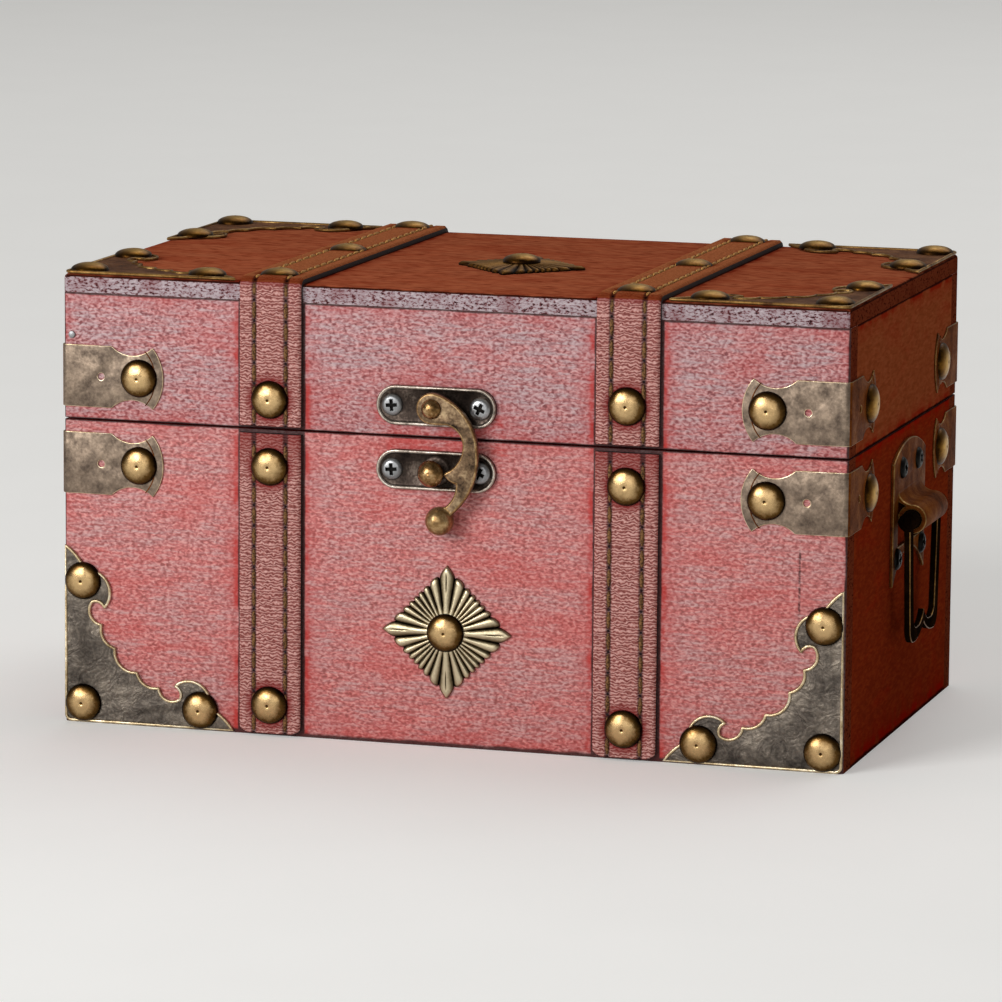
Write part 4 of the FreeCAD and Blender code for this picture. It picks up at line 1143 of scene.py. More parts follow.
@dataclass
class Straps:
    """The leather straps: each a moulded strip with two sewn rows and a raised middle."""

    flat_map = "strap_flat"
    row: float = LEATHER.row_mm * MM
    pitch: float = LEATHER.pitch_mm * MM
    stitch: float = 4.7 * MM
    thread_half: float = 0.6 * MM
    groove: float = 0.32 * MM
    groove_half: float = 0.7 * MM
    puff: float = 0.22 * MM
    shoulder: float = 0.6 * MM
    corner: float = 2.0 * MM
    step: float = 0.7 * MM
    bend_steps: int = 6
    ring: float = 2.4 * MM
    ring_stain: float = 0.9
    damp: float = 11.0 * MM
    damp_stain: float = 0.75
    bend_stain: float = 1.7
    nails: list[Vector] = field(default_factory=list)
    columns: int = 28
    lift: float = 0.02 * MM

    def build(self, chest: Chest) -> None:
        """Two straps in three lengths each.

        Args:
            chest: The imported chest.
        """
        groups = [chest.islands(node) for node in ("base_strap_nails", "lid_strap_nails")]
        self.nails = [seat_of(chest, corners, Nails.rise)[0] for group in groups for corners in group]
        for side in ("left", "right"):
            for face in (Side.FRONT, Side.BACK):
                node = f"base_{face.label}_strap_{side}"
                self.length(chest, node, "base", self.upright_path(chest, node, face), True)
            node = f"lid_strap_{side}"
            self.length(chest, node, "lid", self.lid_path(chest, node), False)

    def upright_path(self, chest: Chest, node: str, face: Side) -> Path:
        """The line up one wall of the base.

        Args:
            chest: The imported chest.
            node: The strap's solid.
            face: The wall.

        Returns:
            Places on the wood, each with the way out.
        """
        low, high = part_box(node)
        wood_low, wood_high = chest.wood()
        y = wood_low.y if face is Side.FRONT else wood_high.y
        count = round((high.z - low.z) / self.step)
        x = (low.x + high.x) / 2
        return [(Vector((x, y, low.z + (high.z - low.z) * k / count)), face.out) for k in range(count + 1)]

    def lid_path(self, chest: Chest, node: str) -> Path:
        """The line up the lid's front, over its top and down its back.

        Args:
            chest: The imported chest.
            node: The strap's solid.

        Returns:
            Places on the wood, each with the way out.
        """
        low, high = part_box(node)
        wood_low, wood_high = chest.wood()
        x, radius = (low.x + high.x) / 2, Boards.corner
        path = []

        def run(start: Vector, end: Vector, out: Vector) -> None:
            """Go straight along one face."""
            count = max(2, round((end - start).length / self.step))
            path.extend((start.lerp(end, k / count), out) for k in range(count + 1))

        def bend(centre: Vector, first: float) -> None:
            """Go a quarter round an edge.

            Args:
                centre: The middle of the rounding.
                first: The angle that it starts from.
            """
            for k in range(1, self.bend_steps):
                turn = first - math.pi / 2 * k / self.bend_steps
                out = Vector((0, math.cos(turn), math.sin(turn)))
                path.append((centre + out * radius, out))

        front, back, top = wood_low.y, wood_high.y, wood_high.z
        run(Vector((x, front, low.z)), Vector((x, front, top - radius)), Side.FRONT.out)
        bend(Vector((x, front + radius, top - radius)), math.pi)
        run(Vector((x, front + radius, top)), Vector((x, back - radius, top)), Side.TOP.out)
        bend(Vector((x, back - radius, top - radius)), math.pi / 2)
        run(Vector((x, back, top - radius)), Vector((x, back, low.z)), Side.BACK.out)
        return path

    def height(self, across: float, half: float, thick: float) -> float:
        """How high the leather stands on the wood.

        Args:
            across: How far to the side of its middle line.
            half: Half its width.
            thick: Its thickness.

        Returns:
            The height.
        """
        away = abs(across)
        rise = thick - self.groove * math.exp(-(((away - self.row) / self.groove_half) ** 2))
        if away < self.row:
            rise += self.puff * math.cos(math.pi / 2 * away / self.row)
        past = away - (half - self.shoulder)
        if past > 0:
            rise -= self.shoulder - math.sqrt(max(0.0, self.shoulder**2 - past**2))
        return rise

    def length(self, chest: Chest, node: str, body: str, path: Path, round_foot: bool) -> None:
        """One length of strap and its stitches.

        Args:
            chest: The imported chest.
            node: The solid that it stands for.
            body: The body that it rides on.
            path: Places along it on the wood, each with the way out.
            round_foot: Whether the corners of its first end are rounded.
        """
        low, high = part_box(node)
        half = (high.x - low.x) / 2
        wood_low, wood_high = chest.wood()
        thick = max(wood_low.y - low.y, high.y - wood_high.y)
        bm = bmesh.new()
        flat = bm.loops.layers.uv.new(self.flat_map)
        stain = bm.verts.layers.float.new("stain")
        rows = []
        for (place, out), run in zip(path, self.marks(path, thick)):
            reach = half
            if round_foot and run < self.corner:
                reach -= self.corner - math.sqrt(self.corner**2 - (self.corner - run) ** 2)
            rows.append(self.section(bm, place, out, reach, thick, run))
            for vert, _ in rows[-1]:
                vert[stain] = self.stained(vert.co, out, high.z if round_foot else 0.0)
        quads = []
        for (_, out), lower, upper in zip(path[1:], rows, rows[1:]):
            for k in range(len(lower)):
                n = (k + 1) % len(lower)
                # Faces that look up take the tan copy of the leather: painted warm light.
                finish = 1 if k >= self.columns else 2 * (out.z > 0.5)
                quads.append(((lower[k], lower[n], upper[n], upper[k]), finish))
        for outline, finish in quads + [(rows[0], 1), (rows[-1], 1)]:
            face = bm.faces.new([vert for vert, _ in outline])
            face.material_index = finish
            for loop, (_, spot) in zip(face.loops, outline):
                loop[flat].uv = spot
        finishes = [LEATHER, CUT_EDGE, WARM_LIT_LEATHER]
        chest.place(f"{node}_leather", mesh_from(bm, node), finishes, Slot.LEATHER, body, [node], 60)
        self.sew(chest, node, body, path, thick)

    def stained(self, place: Vector, out: Vector, seam: float) -> float:
        """How far wax and dirt have darkened the leather: round nails, below the seam, over the lid's edge.

        Args:
            place: A place on the strap.
            out: The way that the leather looks there.
            seam: The height of the seam that the strap ends below, or 0 where it lies above.

        Returns:
            0 for clean leather to 1 for dark.
        """
        away = min((place - nail).length for nail in self.nails) - Nails.radius
        round_nail = self.ring_stain * max(0.0, 1 - max(0.0, away) / self.ring)
        below = seam - place.z
        near_seam = self.damp_stain * max(0.0, 1 - below / self.damp) if below >= 0 else 0.0
        bent = self.bend_stain * abs(out.y) * max(0.0, out.z)
        return max(round_nail, near_seam, bent)

    @staticmethod
    def marks(path: Path, thick: float) -> list[float]:
        """How far along its outer face each place of a strap lies.

        Args:
            path: Places along it on the wood, each with the way out.
            thick: The strap's thickness.

        Returns:
            A length for each place.
        """
        found = [0.0]
        for (a, out_a), (b, out_b) in zip(path, path[1:]):
            found.append(found[-1] + (b + out_b * thick - a - out_a * thick).length)
        return found

    def section(self, bm: Mesh, place: Vector, out: Vector, reach: float, thick: float,
                run: float) -> list[tuple[Vert, tuple[float, float]]]:
        """One cross-section: the top from left to right, then the two corners of the back.

        Args:
            bm: The mesh that it is added to.
            place: Its middle on the wood.
            out: The way that the leather looks.
            reach: Half the strap's width here.
            thick: Its thickness.
            run: How far along the strap it lies.

        Returns:
            The new vertices, each with its place on the flat strap in millimetres.
        """
        spots = [-reach + 2 * reach * k / self.columns for k in range(self.columns + 1)]
        levels = [(across, self.height(across, reach, thick)) for across in spots]
        levels += [(reach, self.lift), (-reach, self.lift)]
        return [(bm.verts.new(place + Vector((across, 0, 0)) + out * rise), (across / MM, run / MM))
                for across, rise in levels]

    def sew(self, chest: Chest, node: str, body: str, path: Path, thick: float) -> None:
        """Two rows of stitches, each stitch a thread that dives into the leather at both ends.

        Args:
            chest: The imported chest.
            node: The strap's solid.
            body: The body that it rides on.
            path: Places along it on the wood, each with the way out.
            thick: Its thickness.
        """
        bm = bmesh.new()
        marks = self.marks(path, thick)

        def at(run: float) -> tuple[Vector, Vector]:
            """Find a place along the strap.

            Args:
                run: How far along it is.

            Returns:
                The place on the wood and the way out.
            """
            k = max(i for i in range(len(marks) - 1) if marks[i] <= run)
            share = (run - marks[k]) / max(marks[k + 1] - marks[k], 1e-9)
            return path[k][0].lerp(path[k + 1][0], share), path[k][1].lerp(path[k + 1][1], share).normalized()

        count = int(marks[-1] / self.pitch)
        for k in range(count):
            start = k * self.pitch + (self.pitch - self.stitch) / 2
            ends = [at(start), at(min(start + self.stitch, marks[-1]))]
            along = ends[1][0] - ends[0][0]
            out = (ends[0][1] + ends[1][1]).normalized()
            middle = (ends[0][0] + ends[1][0]) / 2
            turn = Matrix((along.normalized(), out.cross(along.normalized()), out)).transposed().to_4x4()
            size = Matrix.Diagonal((along.length / 2, self.thread_half, self.thread_half, 1))
            for sign in (-1, 1):
                centre = middle + Vector((sign * self.row, 0, 0)) + out * (thick - self.groove * 0.6)
                stand = Matrix.Translation(centre) @ turn @ size @ Matrix.Rotation(math.pi / 2, 4, "Y")
                made = bmesh.ops.create_uvsphere(bm, u_segments=8, v_segments=6, radius=1.0, matrix=stand)
                for face in {face for vert in made["verts"] for face in vert.link_faces}:
                    # Stitches that look up take the golden copy of the thread: painted warm light and
                    # highlight.
                    face.material_index = int(out.z > 0.5)
        finishes = [THREAD, WARM_LIT_THREAD]
        chest.place(f"{node}_stitches", mesh_from(bm, node), finishes, Slot.LEATHER, body, (), 80)


@dataclass
class Nails:
    """Domed upholstery nails, each a pressing with a turned-in rim and a small dimple on top."""

    rise: float = 2.2 * MM
    radius: float = 5.25 * MM
    rim: float = 0.25 * MM
    sunk: float = 0.6 * MM
    dimple: float = 0.5 * MM
    dimple_depth: float = 0.14 * MM
    steps: int = 9
    count: int = 36
    dent: float = 0.045 * MM
    dent_wide: float = 3.1 * MM
    fade: float = 1.5
    groups: tuple[tuple[str, str], ...] = (
        ("base_bracket_nails", "base"), ("base_strap_nails", "base"), ("base_plate_nails", "base"),
        ("lid_bracket_nails", "lid"), ("lid_strap_nails", "lid"), ("lid_plate_nails", "lid"))

    def profile(self) -> list[tuple[float, float]]:
        """The head's outline, from under the rim, over the dome and into the dimple.

        Returns:
            Pairs of radius and height.
        """
        last = math.acos(self.dimple / self.radius)
        turns = [last * k / self.steps for k in range(self.steps + 1)]
        arch = self.rise - self.rim
        dome = [(self.radius * math.cos(t) * 0.99, self.rim + arch * math.sin(t)) for t in turns]
        rim = [(self.radius * 0.96, 0.0), (self.radius, self.rim * 0.4)]
        deep = self.dimple_depth
        return rim + dome + [(self.dimple * 0.7, self.rise - deep * 0.7), (0.0, self.rise - deep)]

    def build(self, chest: Chest) -> None:
        """One piece for each group of nails.

        Args:
            chest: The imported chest.
        """
        finishes = [NAIL_BRASS, SHADED_NAIL_BRASS]
        for node, body in self.groups:
            bm = bmesh.new()
            shine = bm.verts.layers.float.new("shine")
            for corners in chest.islands(node):
                self.nail(chest, bm, shine, corners, self.sunk if node == "lid_strap_nails" else 0.0)
            chest.place(f"{node}_heads", mesh_from(bm, node), finishes, Slot.NAIL, body, [node], 60)

    def nail(self, chest: Chest, bm: Mesh, shine: object, corners: list[Vector], sunk: float) -> None:
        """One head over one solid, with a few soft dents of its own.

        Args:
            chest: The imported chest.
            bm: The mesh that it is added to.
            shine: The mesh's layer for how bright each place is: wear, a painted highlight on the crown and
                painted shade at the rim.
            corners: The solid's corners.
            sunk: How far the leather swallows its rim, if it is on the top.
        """
        seat, side = seat_of(chest, corners, self.rise)
        if side is Side.TOP:
            seat -= side.out * sunk
        rings = revolved(bm, self.profile(), self.count, standing(seat, side))
        # On the top and the ends the heads take the copy coloured for the light there: painted light and
        # shade.
        shade_painted = side not in (Side.FRONT, Side.BACK)
        for face in {face for ring in rings for vert in ring for face in vert.link_faces}:
            face.material_index = int(shade_painted)
        # The crown is coloured pale and the rim nearly black: partly wear, partly painted highlight and
        # painted shade.
        for k, ring in enumerate(rings):
            share = min(1.0, max(0.0, (k - 1) / (self.steps * 0.9))) ** self.fade
            for vert in ring:
                vert[shine] = share if k < len(rings) - 2 else 0.25
                if k > 2:
                    vert.co += side.out * self.dent * noise.noise(vert.co / self.dent_wide)


@dataclass
class Sheet:
    """A piece of sheet metal or a casting taken from its solid, with its sharp edges eased and rubbed bright.

    rubbed_foot is the height from its foot that takes the rubbed finish all over, partly wear and partly
    painted light, and dull_head the height from its head that isn't rubbed at all. flank is its finish past
    the ends of the chest, a darker brown copy that is painted shade.
    """

    node: str
    body: str
    finish: Finish
    slot: Slot
    ease: float = 0.22 * MM
    segments: int = 2
    edge: Finish = POLISHED_RIM
    flank: Finish | None = None
    rubbed_foot: float = 0.0
    dull_head: float = 0.0
    sharp_deg: float = 35.0
    flat_deg: float = 1.0

    def build(self, chest: Chest) -> None:
        """Copy the solid, join its flat faces and round its edges.

        Args:
            chest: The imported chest.
        """
        bm = chest.welded(self.node)
        flat = math.radians(self.flat_deg)
        bmesh.ops.dissolve_limit(bm, angle_limit=flat, verts=bm.verts[:], edges=bm.edges[:])
        for face in bm.faces:
            face.material_index = 0
        eased(bm, sharp_edges(bm, self.sharp_deg), self.ease, self.segments, 1)
        low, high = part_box(self.node)
        for face in bm.faces:
            level = face.calc_center_median().z
            if level < low.z + self.rubbed_foot:
                face.material_index = 1
            if level > high.z - self.dull_head:
                face.material_index = 0
        finishes = [self.finish, self.edge]
        # Past the ends of the chest the metal and its edges take darker brown copies: painted shade.
        if self.flank:
            _, high = chest.wood()
            finishes += [self.flank, SHADED_EDGE_BRONZE]
            for face in bm.faces:
                face.material_index += 2 * (abs(face.calc_center_median().x) > high.x)
        name = f"{self.node}_metal"
        chest.place(name, mesh_from(bm, name), finishes, self.slot, self.body, [self.node], 30)


@dataclass
class CornerPlates:
    """The scalloped plates: stamped sheet with a raised bead round the outline."""

    ease: float = 0.15 * MM
    bead: float = 0.46 * MM
    bead_sides: int = 8

    def build(self, chest: Chest) -> None:
        """Six plates and their beads.

        Args:
            chest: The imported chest.
        """
        sides = ("left", "right")
        plates = [(f"front_corner_plate_{side}", "base", Side.FRONT) for side in sides]
        for end in ("front", "back"):
            plates += [(f"top_corner_plate_{end}_{side}", "lid", Side.TOP) for side in sides]
        # The top plates take darker brown copies of the metal and rim: painted shade.
        dress = {Side.FRONT: (PLATE_BRONZE, POLISHED_RIM), Side.TOP: (SHADED_PLATE_BRONZE, SHADED_EDGE_BRONZE)}
        for node, body, face in plates:
            metal, rim = dress[face]
            Sheet(node, body, metal, Slot.SHEET, ease=self.ease, edge=rim).build(chest)
            bm = bmesh.new()
            tube(bm, self.outline(chest, node, face), face.out, self.bead, self.bead_sides, True)
            chest.place(f"{node}_bead", mesh_from(bm, node), [rim], Slot.SHEET, body, (), 60)

    @staticmethod
    def outline(chest: Chest, node: str, side: Side) -> list[Vector]:
        """Follow the plate's outer edge on the face that shows.

        Args:
            chest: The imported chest.
            node: The plate's solid.
            side: The way that it looks.

        Returns:
            The corners of its longest border, in order.
        """
        bm = chest.welded(node)
        shown = {f for f in bm.faces if f.normal.dot(side.out) > 0.9}
        border = [e for e in bm.edges if sum(f in shown for f in e.link_faces) == 1]
        joined: dict[int, list[int]] = {}
        for edge in border:
            a, b = (v.index for v in edge.verts)
            joined.setdefault(a, []).append(b)
            joined.setdefault(b, []).append(a)
        bm.verts.ensure_lookup_table()
        loops, seen = [], set()
        for seed in sorted(joined):
            if seed in seen:
                continue
            loop, at, before = [], seed, -1
            while at not in seen:
                seen.add(at)
                loop.append(bm.verts[at].co.copy())
                ahead = [n for n in joined[at] if n != before]
                before, at = at, ahead[0]
            loops.append(loop)
        bm.free()
        return max(loops, key=lambda loop: sum((a - b).length for a, b in zip(loop, loop[1:])))


@dataclass
class Ornaments:
    """The pressed diamonds: rounded rays from a hub to a scalloped edge, with a slit in each point."""

    span: float = 36.4 * MM
    rays: int = 32
    steps_per_ray: int = 12
    rings: int = 16
    hub: float = 4.4 * MM
    hub_share: float = 0.6
    hub_rise: float = 1.7 * MM
    edge_rise: float = 1.1 * MM
    edge_drop: float = 0.55
    flute: float = 0.85 * MM
    flute_start: float = 0.12
    flute_run: float = 0.25
    slit: float = 0.3 * MM
    slit_from: float = 0.5
    slit_to: float = 0.85
    scallop: float = 0.09
    spread: float = 0.35

    def build(self, chest: Chest) -> None:
        """The front one and the top one.

        Args:
            chest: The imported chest.
        """
        wood_low, wood_high = chest.wood()
        for node, body, side in (("front_ornament", "base", Side.FRONT), ("top_ornament", "lid", Side.TOP)):
            low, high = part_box(node)
            # The top ornament takes a dark brown copy of the gold: painted shade.
            foot, finish = (low + high) / 2, SHADED_GOLD
            if side is Side.FRONT:
                foot.y, finish = wood_low.y, FLUTED_GOLD
            else:
                foot.z = wood_high.z
            self.diamond(chest, node, body, standing(foot, side), finish)

    def diamond(self, chest: Chest, node: str, body: str, stand: Matrix, finish: Finish) -> None:
        """One ornament.

        Args:
            chest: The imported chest.
            node: Its solid.
            body: The body that it rides on.
            stand: Where it goes.
            finish: Its finish.
        """
        bm = bmesh.new()
        shine = bm.verts.layers.float.new("shine")
        count = self.rays * self.steps_per_ray
        core = self.hub * self.hub_share
        grid = []
        for ring in range(self.rings + 1):
            share = ring / self.rings
            deep = min(1.0, max(0.0, (share - self.flute_start) / self.flute_run))
            row = []
            for k in range(count):
                turn = 2 * math.pi * k / count
                c, s = math.cos(turn), math.sin(turn)
                wave = abs(math.cos(self.rays * (turn - self.spread * math.sin(4 * turn) / 4) / 2))
                reach = self.span / 2 / (abs(c) + abs(s)) * (1 - self.scallop * (1 - math.sqrt(wave)))
                radius = core + (reach - core) * share
                rise = self.hub_rise + (self.edge_rise - self.hub_rise) * share
                rise -= self.flute * deep * (1 - math.sqrt(wave))
                slit = k % (count // 4) == 0 and self.slit_from < share < self.slit_to
                rise -= self.slit * slit
                if ring == self.rings:
                    rise *= self.edge_drop
                vert = bm.verts.new(stand @ Vector((radius * c, radius * s, rise)))
                worn = 0.7 if ring == self.rings else 1.0 - 0.8 * slit
                vert[shine] = (1 - deep * (1 - wave) * 0.95) * worn
                row.append(vert)
            grid.append(row)
        out = (stand.to_3x3() @ Vector((0, 0, 1))).normalized()
        base = stand.translation.dot(out)
        grid.append([bm.verts.new(vert.co - out * (vert.co.dot(out) - base)) for vert in grid[-1]])
        for inner, outer in zip(grid, grid[1:]):
            for k in range(count):
                n = (k + 1) % count
                bm.faces.new((inner[k], outer[k], outer[n], inner[n]))
        bm.faces.new(grid[0])
        bm.faces.new(grid[-1][::-1])
        chest.place(f"{node}_pressing", mesh_from(bm, node), [finish], Slot.GOLD, body, [node], 70)


@dataclass
class Screws:
    """Pan-head screws with a cross recess."""

    node: str
    body: str
    finish: Finish
    slot: Slot
    radius: float = 3.0 * MM
    rise: float = 1.1 * MM
    steps: int = 5
    count: int = 32
    brow_deg: float = 50.0
    arm: float = 1.6 * MM
    arm_half: float = 0.5 * MM
    depth: float = 0.6 * MM
    well_share: float = 0.8
    first_deg: float = 4.0
    next_deg: float = 61.0

    def build(self, chest: Chest) -> None:
        """Every screw of one group, each stopped at its own angle.

        Args:
            chest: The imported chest.
        """
        bm = bmesh.new()
        for k, corners in enumerate(chest.islands(self.node)):
            seat, side = seat_of(chest, corners, self.rise)
            stopped = math.radians(self.first_deg + self.next_deg * k)
            self.head(bm, standing(seat, side) @ Matrix.Rotation(stopped, 4, "Z"))
        mesh, finishes = mesh_from(bm, self.node), [self.finish, BLACK_STEEL]
        chest.place(f"{self.node}_heads", mesh, finishes, self.slot, self.body, [self.node], 35)

    def head(self, bm: Mesh, stand: Matrix) -> None:
        """One head: a low dome, a flat top and a cross sunk into it.

        Args:
            bm: The mesh that it is added to.
            stand: Where it goes.
        """
        brow = math.radians(self.brow_deg)
        rings = []
        for k in range(self.steps + 1):
            turn = brow * k / self.steps
            radius, height = self.radius * math.cos(turn), self.rise * math.sin(turn) / math.sin(brow)
            rings.append(circle(bm, radius, height, self.count, stand))
        bm.faces.new(rings[0][::-1])
        for lower, upper in zip(rings, rings[1:]):
            banded(bm, lower, upper)
        mouth = self.cross(bm, stand, self.rise, 1.0)
        well = self.cross(bm, stand, self.rise - self.depth, self.well_share)
        edges = [bm.edges.get((loop[k - 1], loop[k])) or bm.edges.new((loop[k - 1], loop[k]))
                 for loop in (rings[-1], mouth) for k in range(len(loop))]
        bmesh.ops.triangle_fill(bm, use_beauty=True, use_dissolve=False, edges=edges)
        for face in banded(bm, mouth, well) + [bm.faces.new(well)]:
            face.material_index = 1

    def cross(self, bm: Mesh, stand: Matrix, height: float, share: float) -> list[Vert]:
        """The outline of the cross at one height.

        Args:
            bm: The mesh that it is added to.
            stand: Where the screw goes.
            height: How high the outline lies.
            share: Its size, as a share of the recess's mouth.

        Returns:
            Its twelve corners.
        """
        a, h = self.arm * share, self.arm_half * share
        corners = []
        for quarter in range(4):
            turn = Matrix.Rotation(math.pi / 2 * quarter, 4, "Z")
            corners += [turn @ Vector((x, y, height)) for x, y in ((a, -h), (a, h), (h, h))]
        return [bm.verts.new(stand @ corner) for corner in corners]


@dataclass
class LatchPlates:
    """The two dished plates of the latch: a rolled rim round a dark floor, and a boss in the middle.

    rim_mm holds pairs of how far in from the outline and how high, and bosses_mm pairs of radius and height.
    """

    rim_mm: tuple[tuple[float, float], ...] = (
        (0.0, 0.0), (0.0, 1.0), (0.12, 1.27), (0.32, 1.4), (0.58, 1.4), (0.78, 1.27), (0.92, 1.05),
        (1.3, 0.8))
    polished: tuple[int, int] = (1, 5)
    turn_steps: int = 14
    boss_steps: int = 40
    bosses_mm: tuple[tuple[str, str, tuple[tuple[float, float], ...]], ...] = (
        ("latch_plate", "lid", ((4.3, 0.7), (4.2, 1.2), (3.9, 2.4), (3.7, 3.0), (3.4, 3.15), (0.0, 3.15))),
        ("catch_plate", "base", ((4.3, 0.7), (4.1, 1.05), (3.6, 1.32), (3.0, 1.4), (2.4, 1.4), (0.0, 1.4))))

    def build(self, chest: Chest) -> None:
        """Both plates.

        Args:
            chest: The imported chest.
        """
        wood_low, _ = chest.wood()
        first, last = self.polished
        for node, body, boss in self.bosses_mm:
            low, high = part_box(node)
            stand = standing(Vector(((low.x + high.x) / 2, wood_low.y, (low.z + high.z) / 2)), Side.FRONT)
            bm = bmesh.new()
            size = high - low
            loops = [self.lozenge(bm, stand, size, inset * MM, rise * MM) for inset, rise in self.rim_mm]
            bm.faces.new(loops[0][::-1])
            bm.faces.new(loops[-1])
            for k, (lower, upper) in enumerate(zip(loops, loops[1:])):
                for face in banded(bm, lower, upper):
                    face.material_index = int(first <= k <= last)
            revolved(bm, [(r * MM, h * MM) for r, h in boss], self.boss_steps, stand)
            finishes = [LATCH_FLOOR, PEWTER_RIM]
            chest.place(f"{node}_pressing", mesh_from(bm, node), finishes, Slot.LATCH, body, [node], 40)

    def lozenge(self, bm: Mesh, stand: Matrix, size: Vector, inset: float, height: float) -> list[Vert]:
        """A loop with half-round ends, drawn in from the plate's outline.

        Args:
            bm: The mesh that it is added to.
            stand: Where the plate goes.
            size: The plate's box.
            inset: How far in from the outline the loop lies.
            height: How high it lies.

        Returns:
            Its vertices in order.
        """
        radius = size.z / 2
        straight = size.x / 2 - radius
        loop = []
        for sign in (1, -1):
            for k in range(self.turn_steps + 1):
                turn = math.pi * (k / self.turn_steps - sign / 2)
                x = sign * straight + (radius - inset) * math.cos(turn)
                loop.append(bm.verts.new(stand @ Vector((x, (radius - inset) * math.sin(turn), height))))
        return loop


@dataclass
class Brackets:
    """The corner straps: folded strip with a bead that marks off each flared end."""

    ease: float = 0.16 * MM
    line: float = 0.16 * MM
    line_sides: int = 6
    end: float = 29.0 * MM
    tail: float = 3.1 * MM
    half: float = 8.5 * MM
    lip: float = 2.3 * MM
    reach: float = 7.4 * MM
    steps: int = 14

    def build(self, chest: Chest) -> None:
        """Eight brackets and the bead on both ends of each.

        Args:
            chest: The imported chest.
        """
        corners = [(end, flank) for end in (Side.FRONT, Side.BACK) for flank in (Side.LEFT, Side.RIGHT)]
        for level in ("base", "lid"):
            for end, flank in corners:
                node = f"{level}_bracket_{end.label}_{flank.label}"
                Sheet(node, level, BRACKET_BRONZE, Slot.SHEET, self.ease, flank=SHADED_BRONZE).build(chest)
                bm = bmesh.new()
                for face, other in ((end, flank), (flank, end)):
                    self.bead(bm, node, face, other)
                mesh = mesh_from(bm, node)
                # The beads are coloured dark brown: painted shade for the step line at each flared end.
                chest.place(f"{node}_lines", mesh, [SHADED_BRONZE], Slot.SHEET, level, (), 60)

    def bead(self, bm: Mesh, node: str, face: Side, other: Side) -> None:
        """The bead on one leg: an arc inside the curve of its end.

        Args:
            bm: The mesh that it is added to.
            node: The bracket's solid.
            face: The face of the chest that the leg lies on.
            other: The face that it comes round from.
        """
        low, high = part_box(node)
        skin = high if sum(face.value) > 0 else low
        corner = Vector((0, 0, (low.z + high.z) / 2))
        wood_low, wood_high = Chest.wood()
        edge = wood_high if sum(other.value) > 0 else wood_low
        curve = (self.half**2 + self.tail**2) / (2 * self.tail)
        points = []
        for k in range(self.steps + 1):
            rise = self.reach * (2 * k / self.steps - 1)
            along = self.end - curve + math.sqrt((curve - self.lip) ** 2 - rise**2)
            place = corner + Vector((0, 0, rise))
            place += face.out * abs(skin.dot(face.out)) + other.out * (abs(edge.dot(other.out)) - along)
            points.append(place)
        tube(bm, points, face.out, self.line, self.line_sides, False)


@dataclass
class Studio:
    """A pale sweep, soft lamps and the camera that the chest is matched to.

    lamps holds each lamp's name, azimuth and elevation in degrees, distance, size and power.
    """

    azimuth_deg: float = 16.780
    elevation_deg: float = 9.331
    roll_deg: float = 0.457
    distance: float = 1.6209
    aside: float = -4.56 * MM
    above: float = -4.73 * MM
    aim_height: float = 62 * MM
    lens_mm: float = 208.83
    sensor_mm: float = 36.0
    far: float = 100.0
    floor_half: float = 8.0
    lamps: tuple[tuple[str, float, float, float, float, float], ...] = (
        ("key", -30, 20, 1.9, 0.9, 21.6), ("fill", 6, 14, 2.3, 1.1, 6.0), ("behind", 165, 58, 3.0, 2.6, 30.0))
    world: str = "#b9b6b2"
    world_strength: float = 0.42

    def build(self) -> None:
        """Set up the sweep, the light and the camera."""
        self.sweep()
        self.lights()
        self.camera()
        bpy.context.scene.view_settings.view_transform = "Standard"

    def sweep(self) -> None:
        """A large floor."""
        bm = bmesh.new()
        bmesh.ops.create_grid(bm, x_segments=1, y_segments=1, size=self.floor_half)
        floor = bpy.data.objects.new("paper_sweep", mesh_from(bm, "paper_sweep"))
        floor.data.materials.append(FLOOR.material())
        bpy.context.scene.collection.objects.link(floor)

    def lights(self) -> None:
        """A broad key lamp at the front left, a weak fill, a soft lamp behind, and an even sky."""
        aim = Vector((0, 0, self.aim_height))
        for name, azimuth, elevation, away, size, power in self.lamps:
            light = bpy.data.lights.new(name, "AREA")
            light.shape = "SQUARE"
            light.size = size
            light.energy = power
            lamp = bpy.data.objects.new(name, light)
            bpy.context.scene.collection.objects.link(lamp)
            back = self.back(math.radians(azimuth), math.radians(elevation))
            lamp.location = aim + back * away
            lamp.rotation_euler = back.to_track_quat("Z", "Y").to_euler()
        world = bpy.data.worlds.new("even_sky")
        world.use_nodes = True
        world.node_tree.nodes.clear()
        sky = {"Color": linear(self.world), "Strength": self.world_strength}
        background = add(world.node_tree, "ShaderNodeBackground", sky)
        add(world.node_tree, "ShaderNodeOutputWorld", {"Surface": background})
        bpy.context.scene.world = world

    @staticmethod
    def back(azimuth: float, elevation: float) -> Vector:
        """The direction from the chest to a viewer."""
        flat = math.cos(elevation)
        return Vector((math.sin(azimuth) * flat, -math.cos(azimuth) * flat, math.sin(elevation)))

    def camera(self) -> None:
        """The camera, a little above and to the right, a long way off."""
        azimuth, roll = math.radians(self.azimuth_deg), math.radians(self.roll_deg)
        back = self.back(azimuth, math.radians(self.elevation_deg))
        right = Vector((math.cos(azimuth), math.sin(azimuth), 0))
        up = back.cross(right)
        place = back * self.distance + right * self.aside + up * self.above + Vector((0, 0, self.aim_height))
        level = right * math.cos(roll) + up * math.sin(roll)
        turned = up * math.cos(roll) - right * math.sin(roll)
        data = bpy.data.cameras.new("camera")
        data.lens = self.lens_mm
        data.sensor_width = self.sensor_mm
        data.clip_end = self.far
        camera = bpy.data.objects.new("camera", data)
        camera.matrix_world = Matrix.Translation(place) @ Matrix((level, turned, back)).transposed().to_4x4()
        bpy.context.scene.collection.objects.link(camera)
        bpy.context.scene.camera = camera


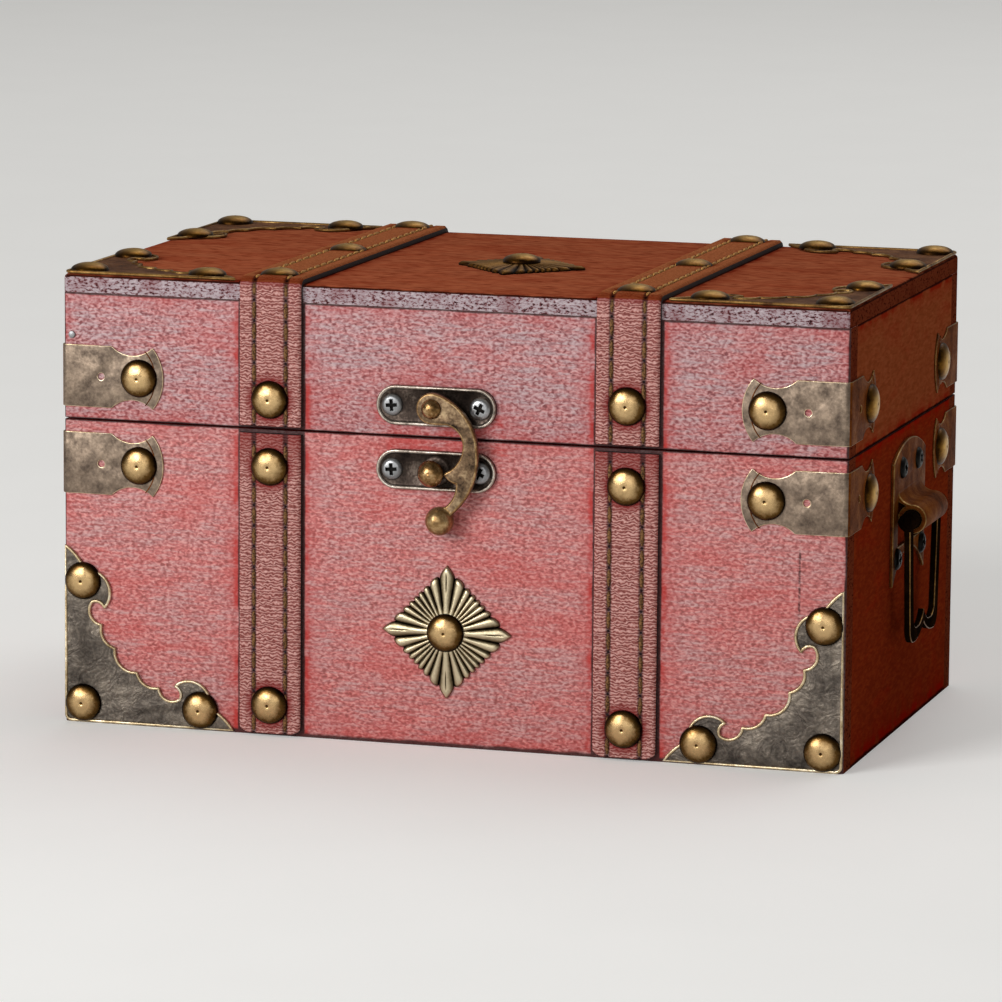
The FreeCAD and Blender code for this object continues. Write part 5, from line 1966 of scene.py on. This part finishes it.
def hardware() -> list[Sheet | Screws]:
    """The metal pieces that keep their solid's own shape, and the screws that hold them.

    Returns:
        The pieces, ready to be built.
    """
    small = {"radius": 2.0 * MM, "rise": 0.8 * MM, "arm": 1.1 * MM, "arm_half": 0.32 * MM, "depth": 0.45 * MM}
    pieces: list[Sheet | Screws] = [
        # The hook's ball takes the paler rubbed finish all over: partly wear, partly painted light.
        Sheet("latch_hook", "hook", CAST_BRONZE, Slot.LATCH, 0.55 * MM, 3, RUBBED_CASTING,
              rubbed_foot=8.0 * MM),
        Sheet("latch_rivet", "lid", RIVET_BRASS, Slot.LATCH, ease=0.2 * MM, edge=RIVET_BRASS),
        Sheet("catch_post", "base", RIVET_BRASS, Slot.LATCH, ease=0.2 * MM, edge=RIVET_BRASS),
        Screws("latch_screws", "lid", ZINC, Slot.ZINC),
        Screws("catch_screws", "base", ZINC, Slot.ZINC),
        Screws("handle_screws", "base", BLACK_STEEL, Slot.DARK),
        Screws("hinge_base_screws", "base", BLACK_STEEL, Slot.DARK, **small),
        Screws("hinge_lid_screws", "lid", BLACK_STEEL, Slot.DARK, **small),
    ]
    for side in ("left", "right"):
        pieces += [
            # The handle plates on the ends take the darker brown copy of the metal: painted shade.
            Sheet(f"handle_plate_{side}", "base", SHADED_BRONZE, Slot.SHEET, 0.25 * MM,
                  edge=SHADED_EDGE_BRONZE),
            Sheet(f"handle_bail_{side}", f"{side}_bail", DARK_BRONZE, Slot.SHEET, 0.22 * MM, edge=RUBBED_DARK,
                  dull_head=6.0 * MM),
            Sheet(f"hinge_base_leaf_{side}", "base", BRACKET_BRONZE, Slot.SHEET, 0.2 * MM),
            Sheet(f"hinge_lid_leaf_{side}", "lid", BRACKET_BRONZE, Slot.SHEET, 0.2 * MM),
            Sheet(f"hinge_pin_{side}", "base", BRACKET_BRONZE, Slot.SHEET, 0.15 * MM),
        ]
    return pieces


def main() -> None:
    """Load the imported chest, build every sub-assembly and set up the studio."""
    logging.basicConfig(level=logging.INFO, format="%(name)s: %(message)s")
    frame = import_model()
    chest = Chest(frame["nodes"])
    groups = (Boards(), Straps(), Nails(), CornerPlates(), Ornaments(), Brackets(), LatchPlates())
    for group in (*groups, *hardware()):
        group.build(chest)
    Studio().build()


if __name__ == "__main__":
    main()
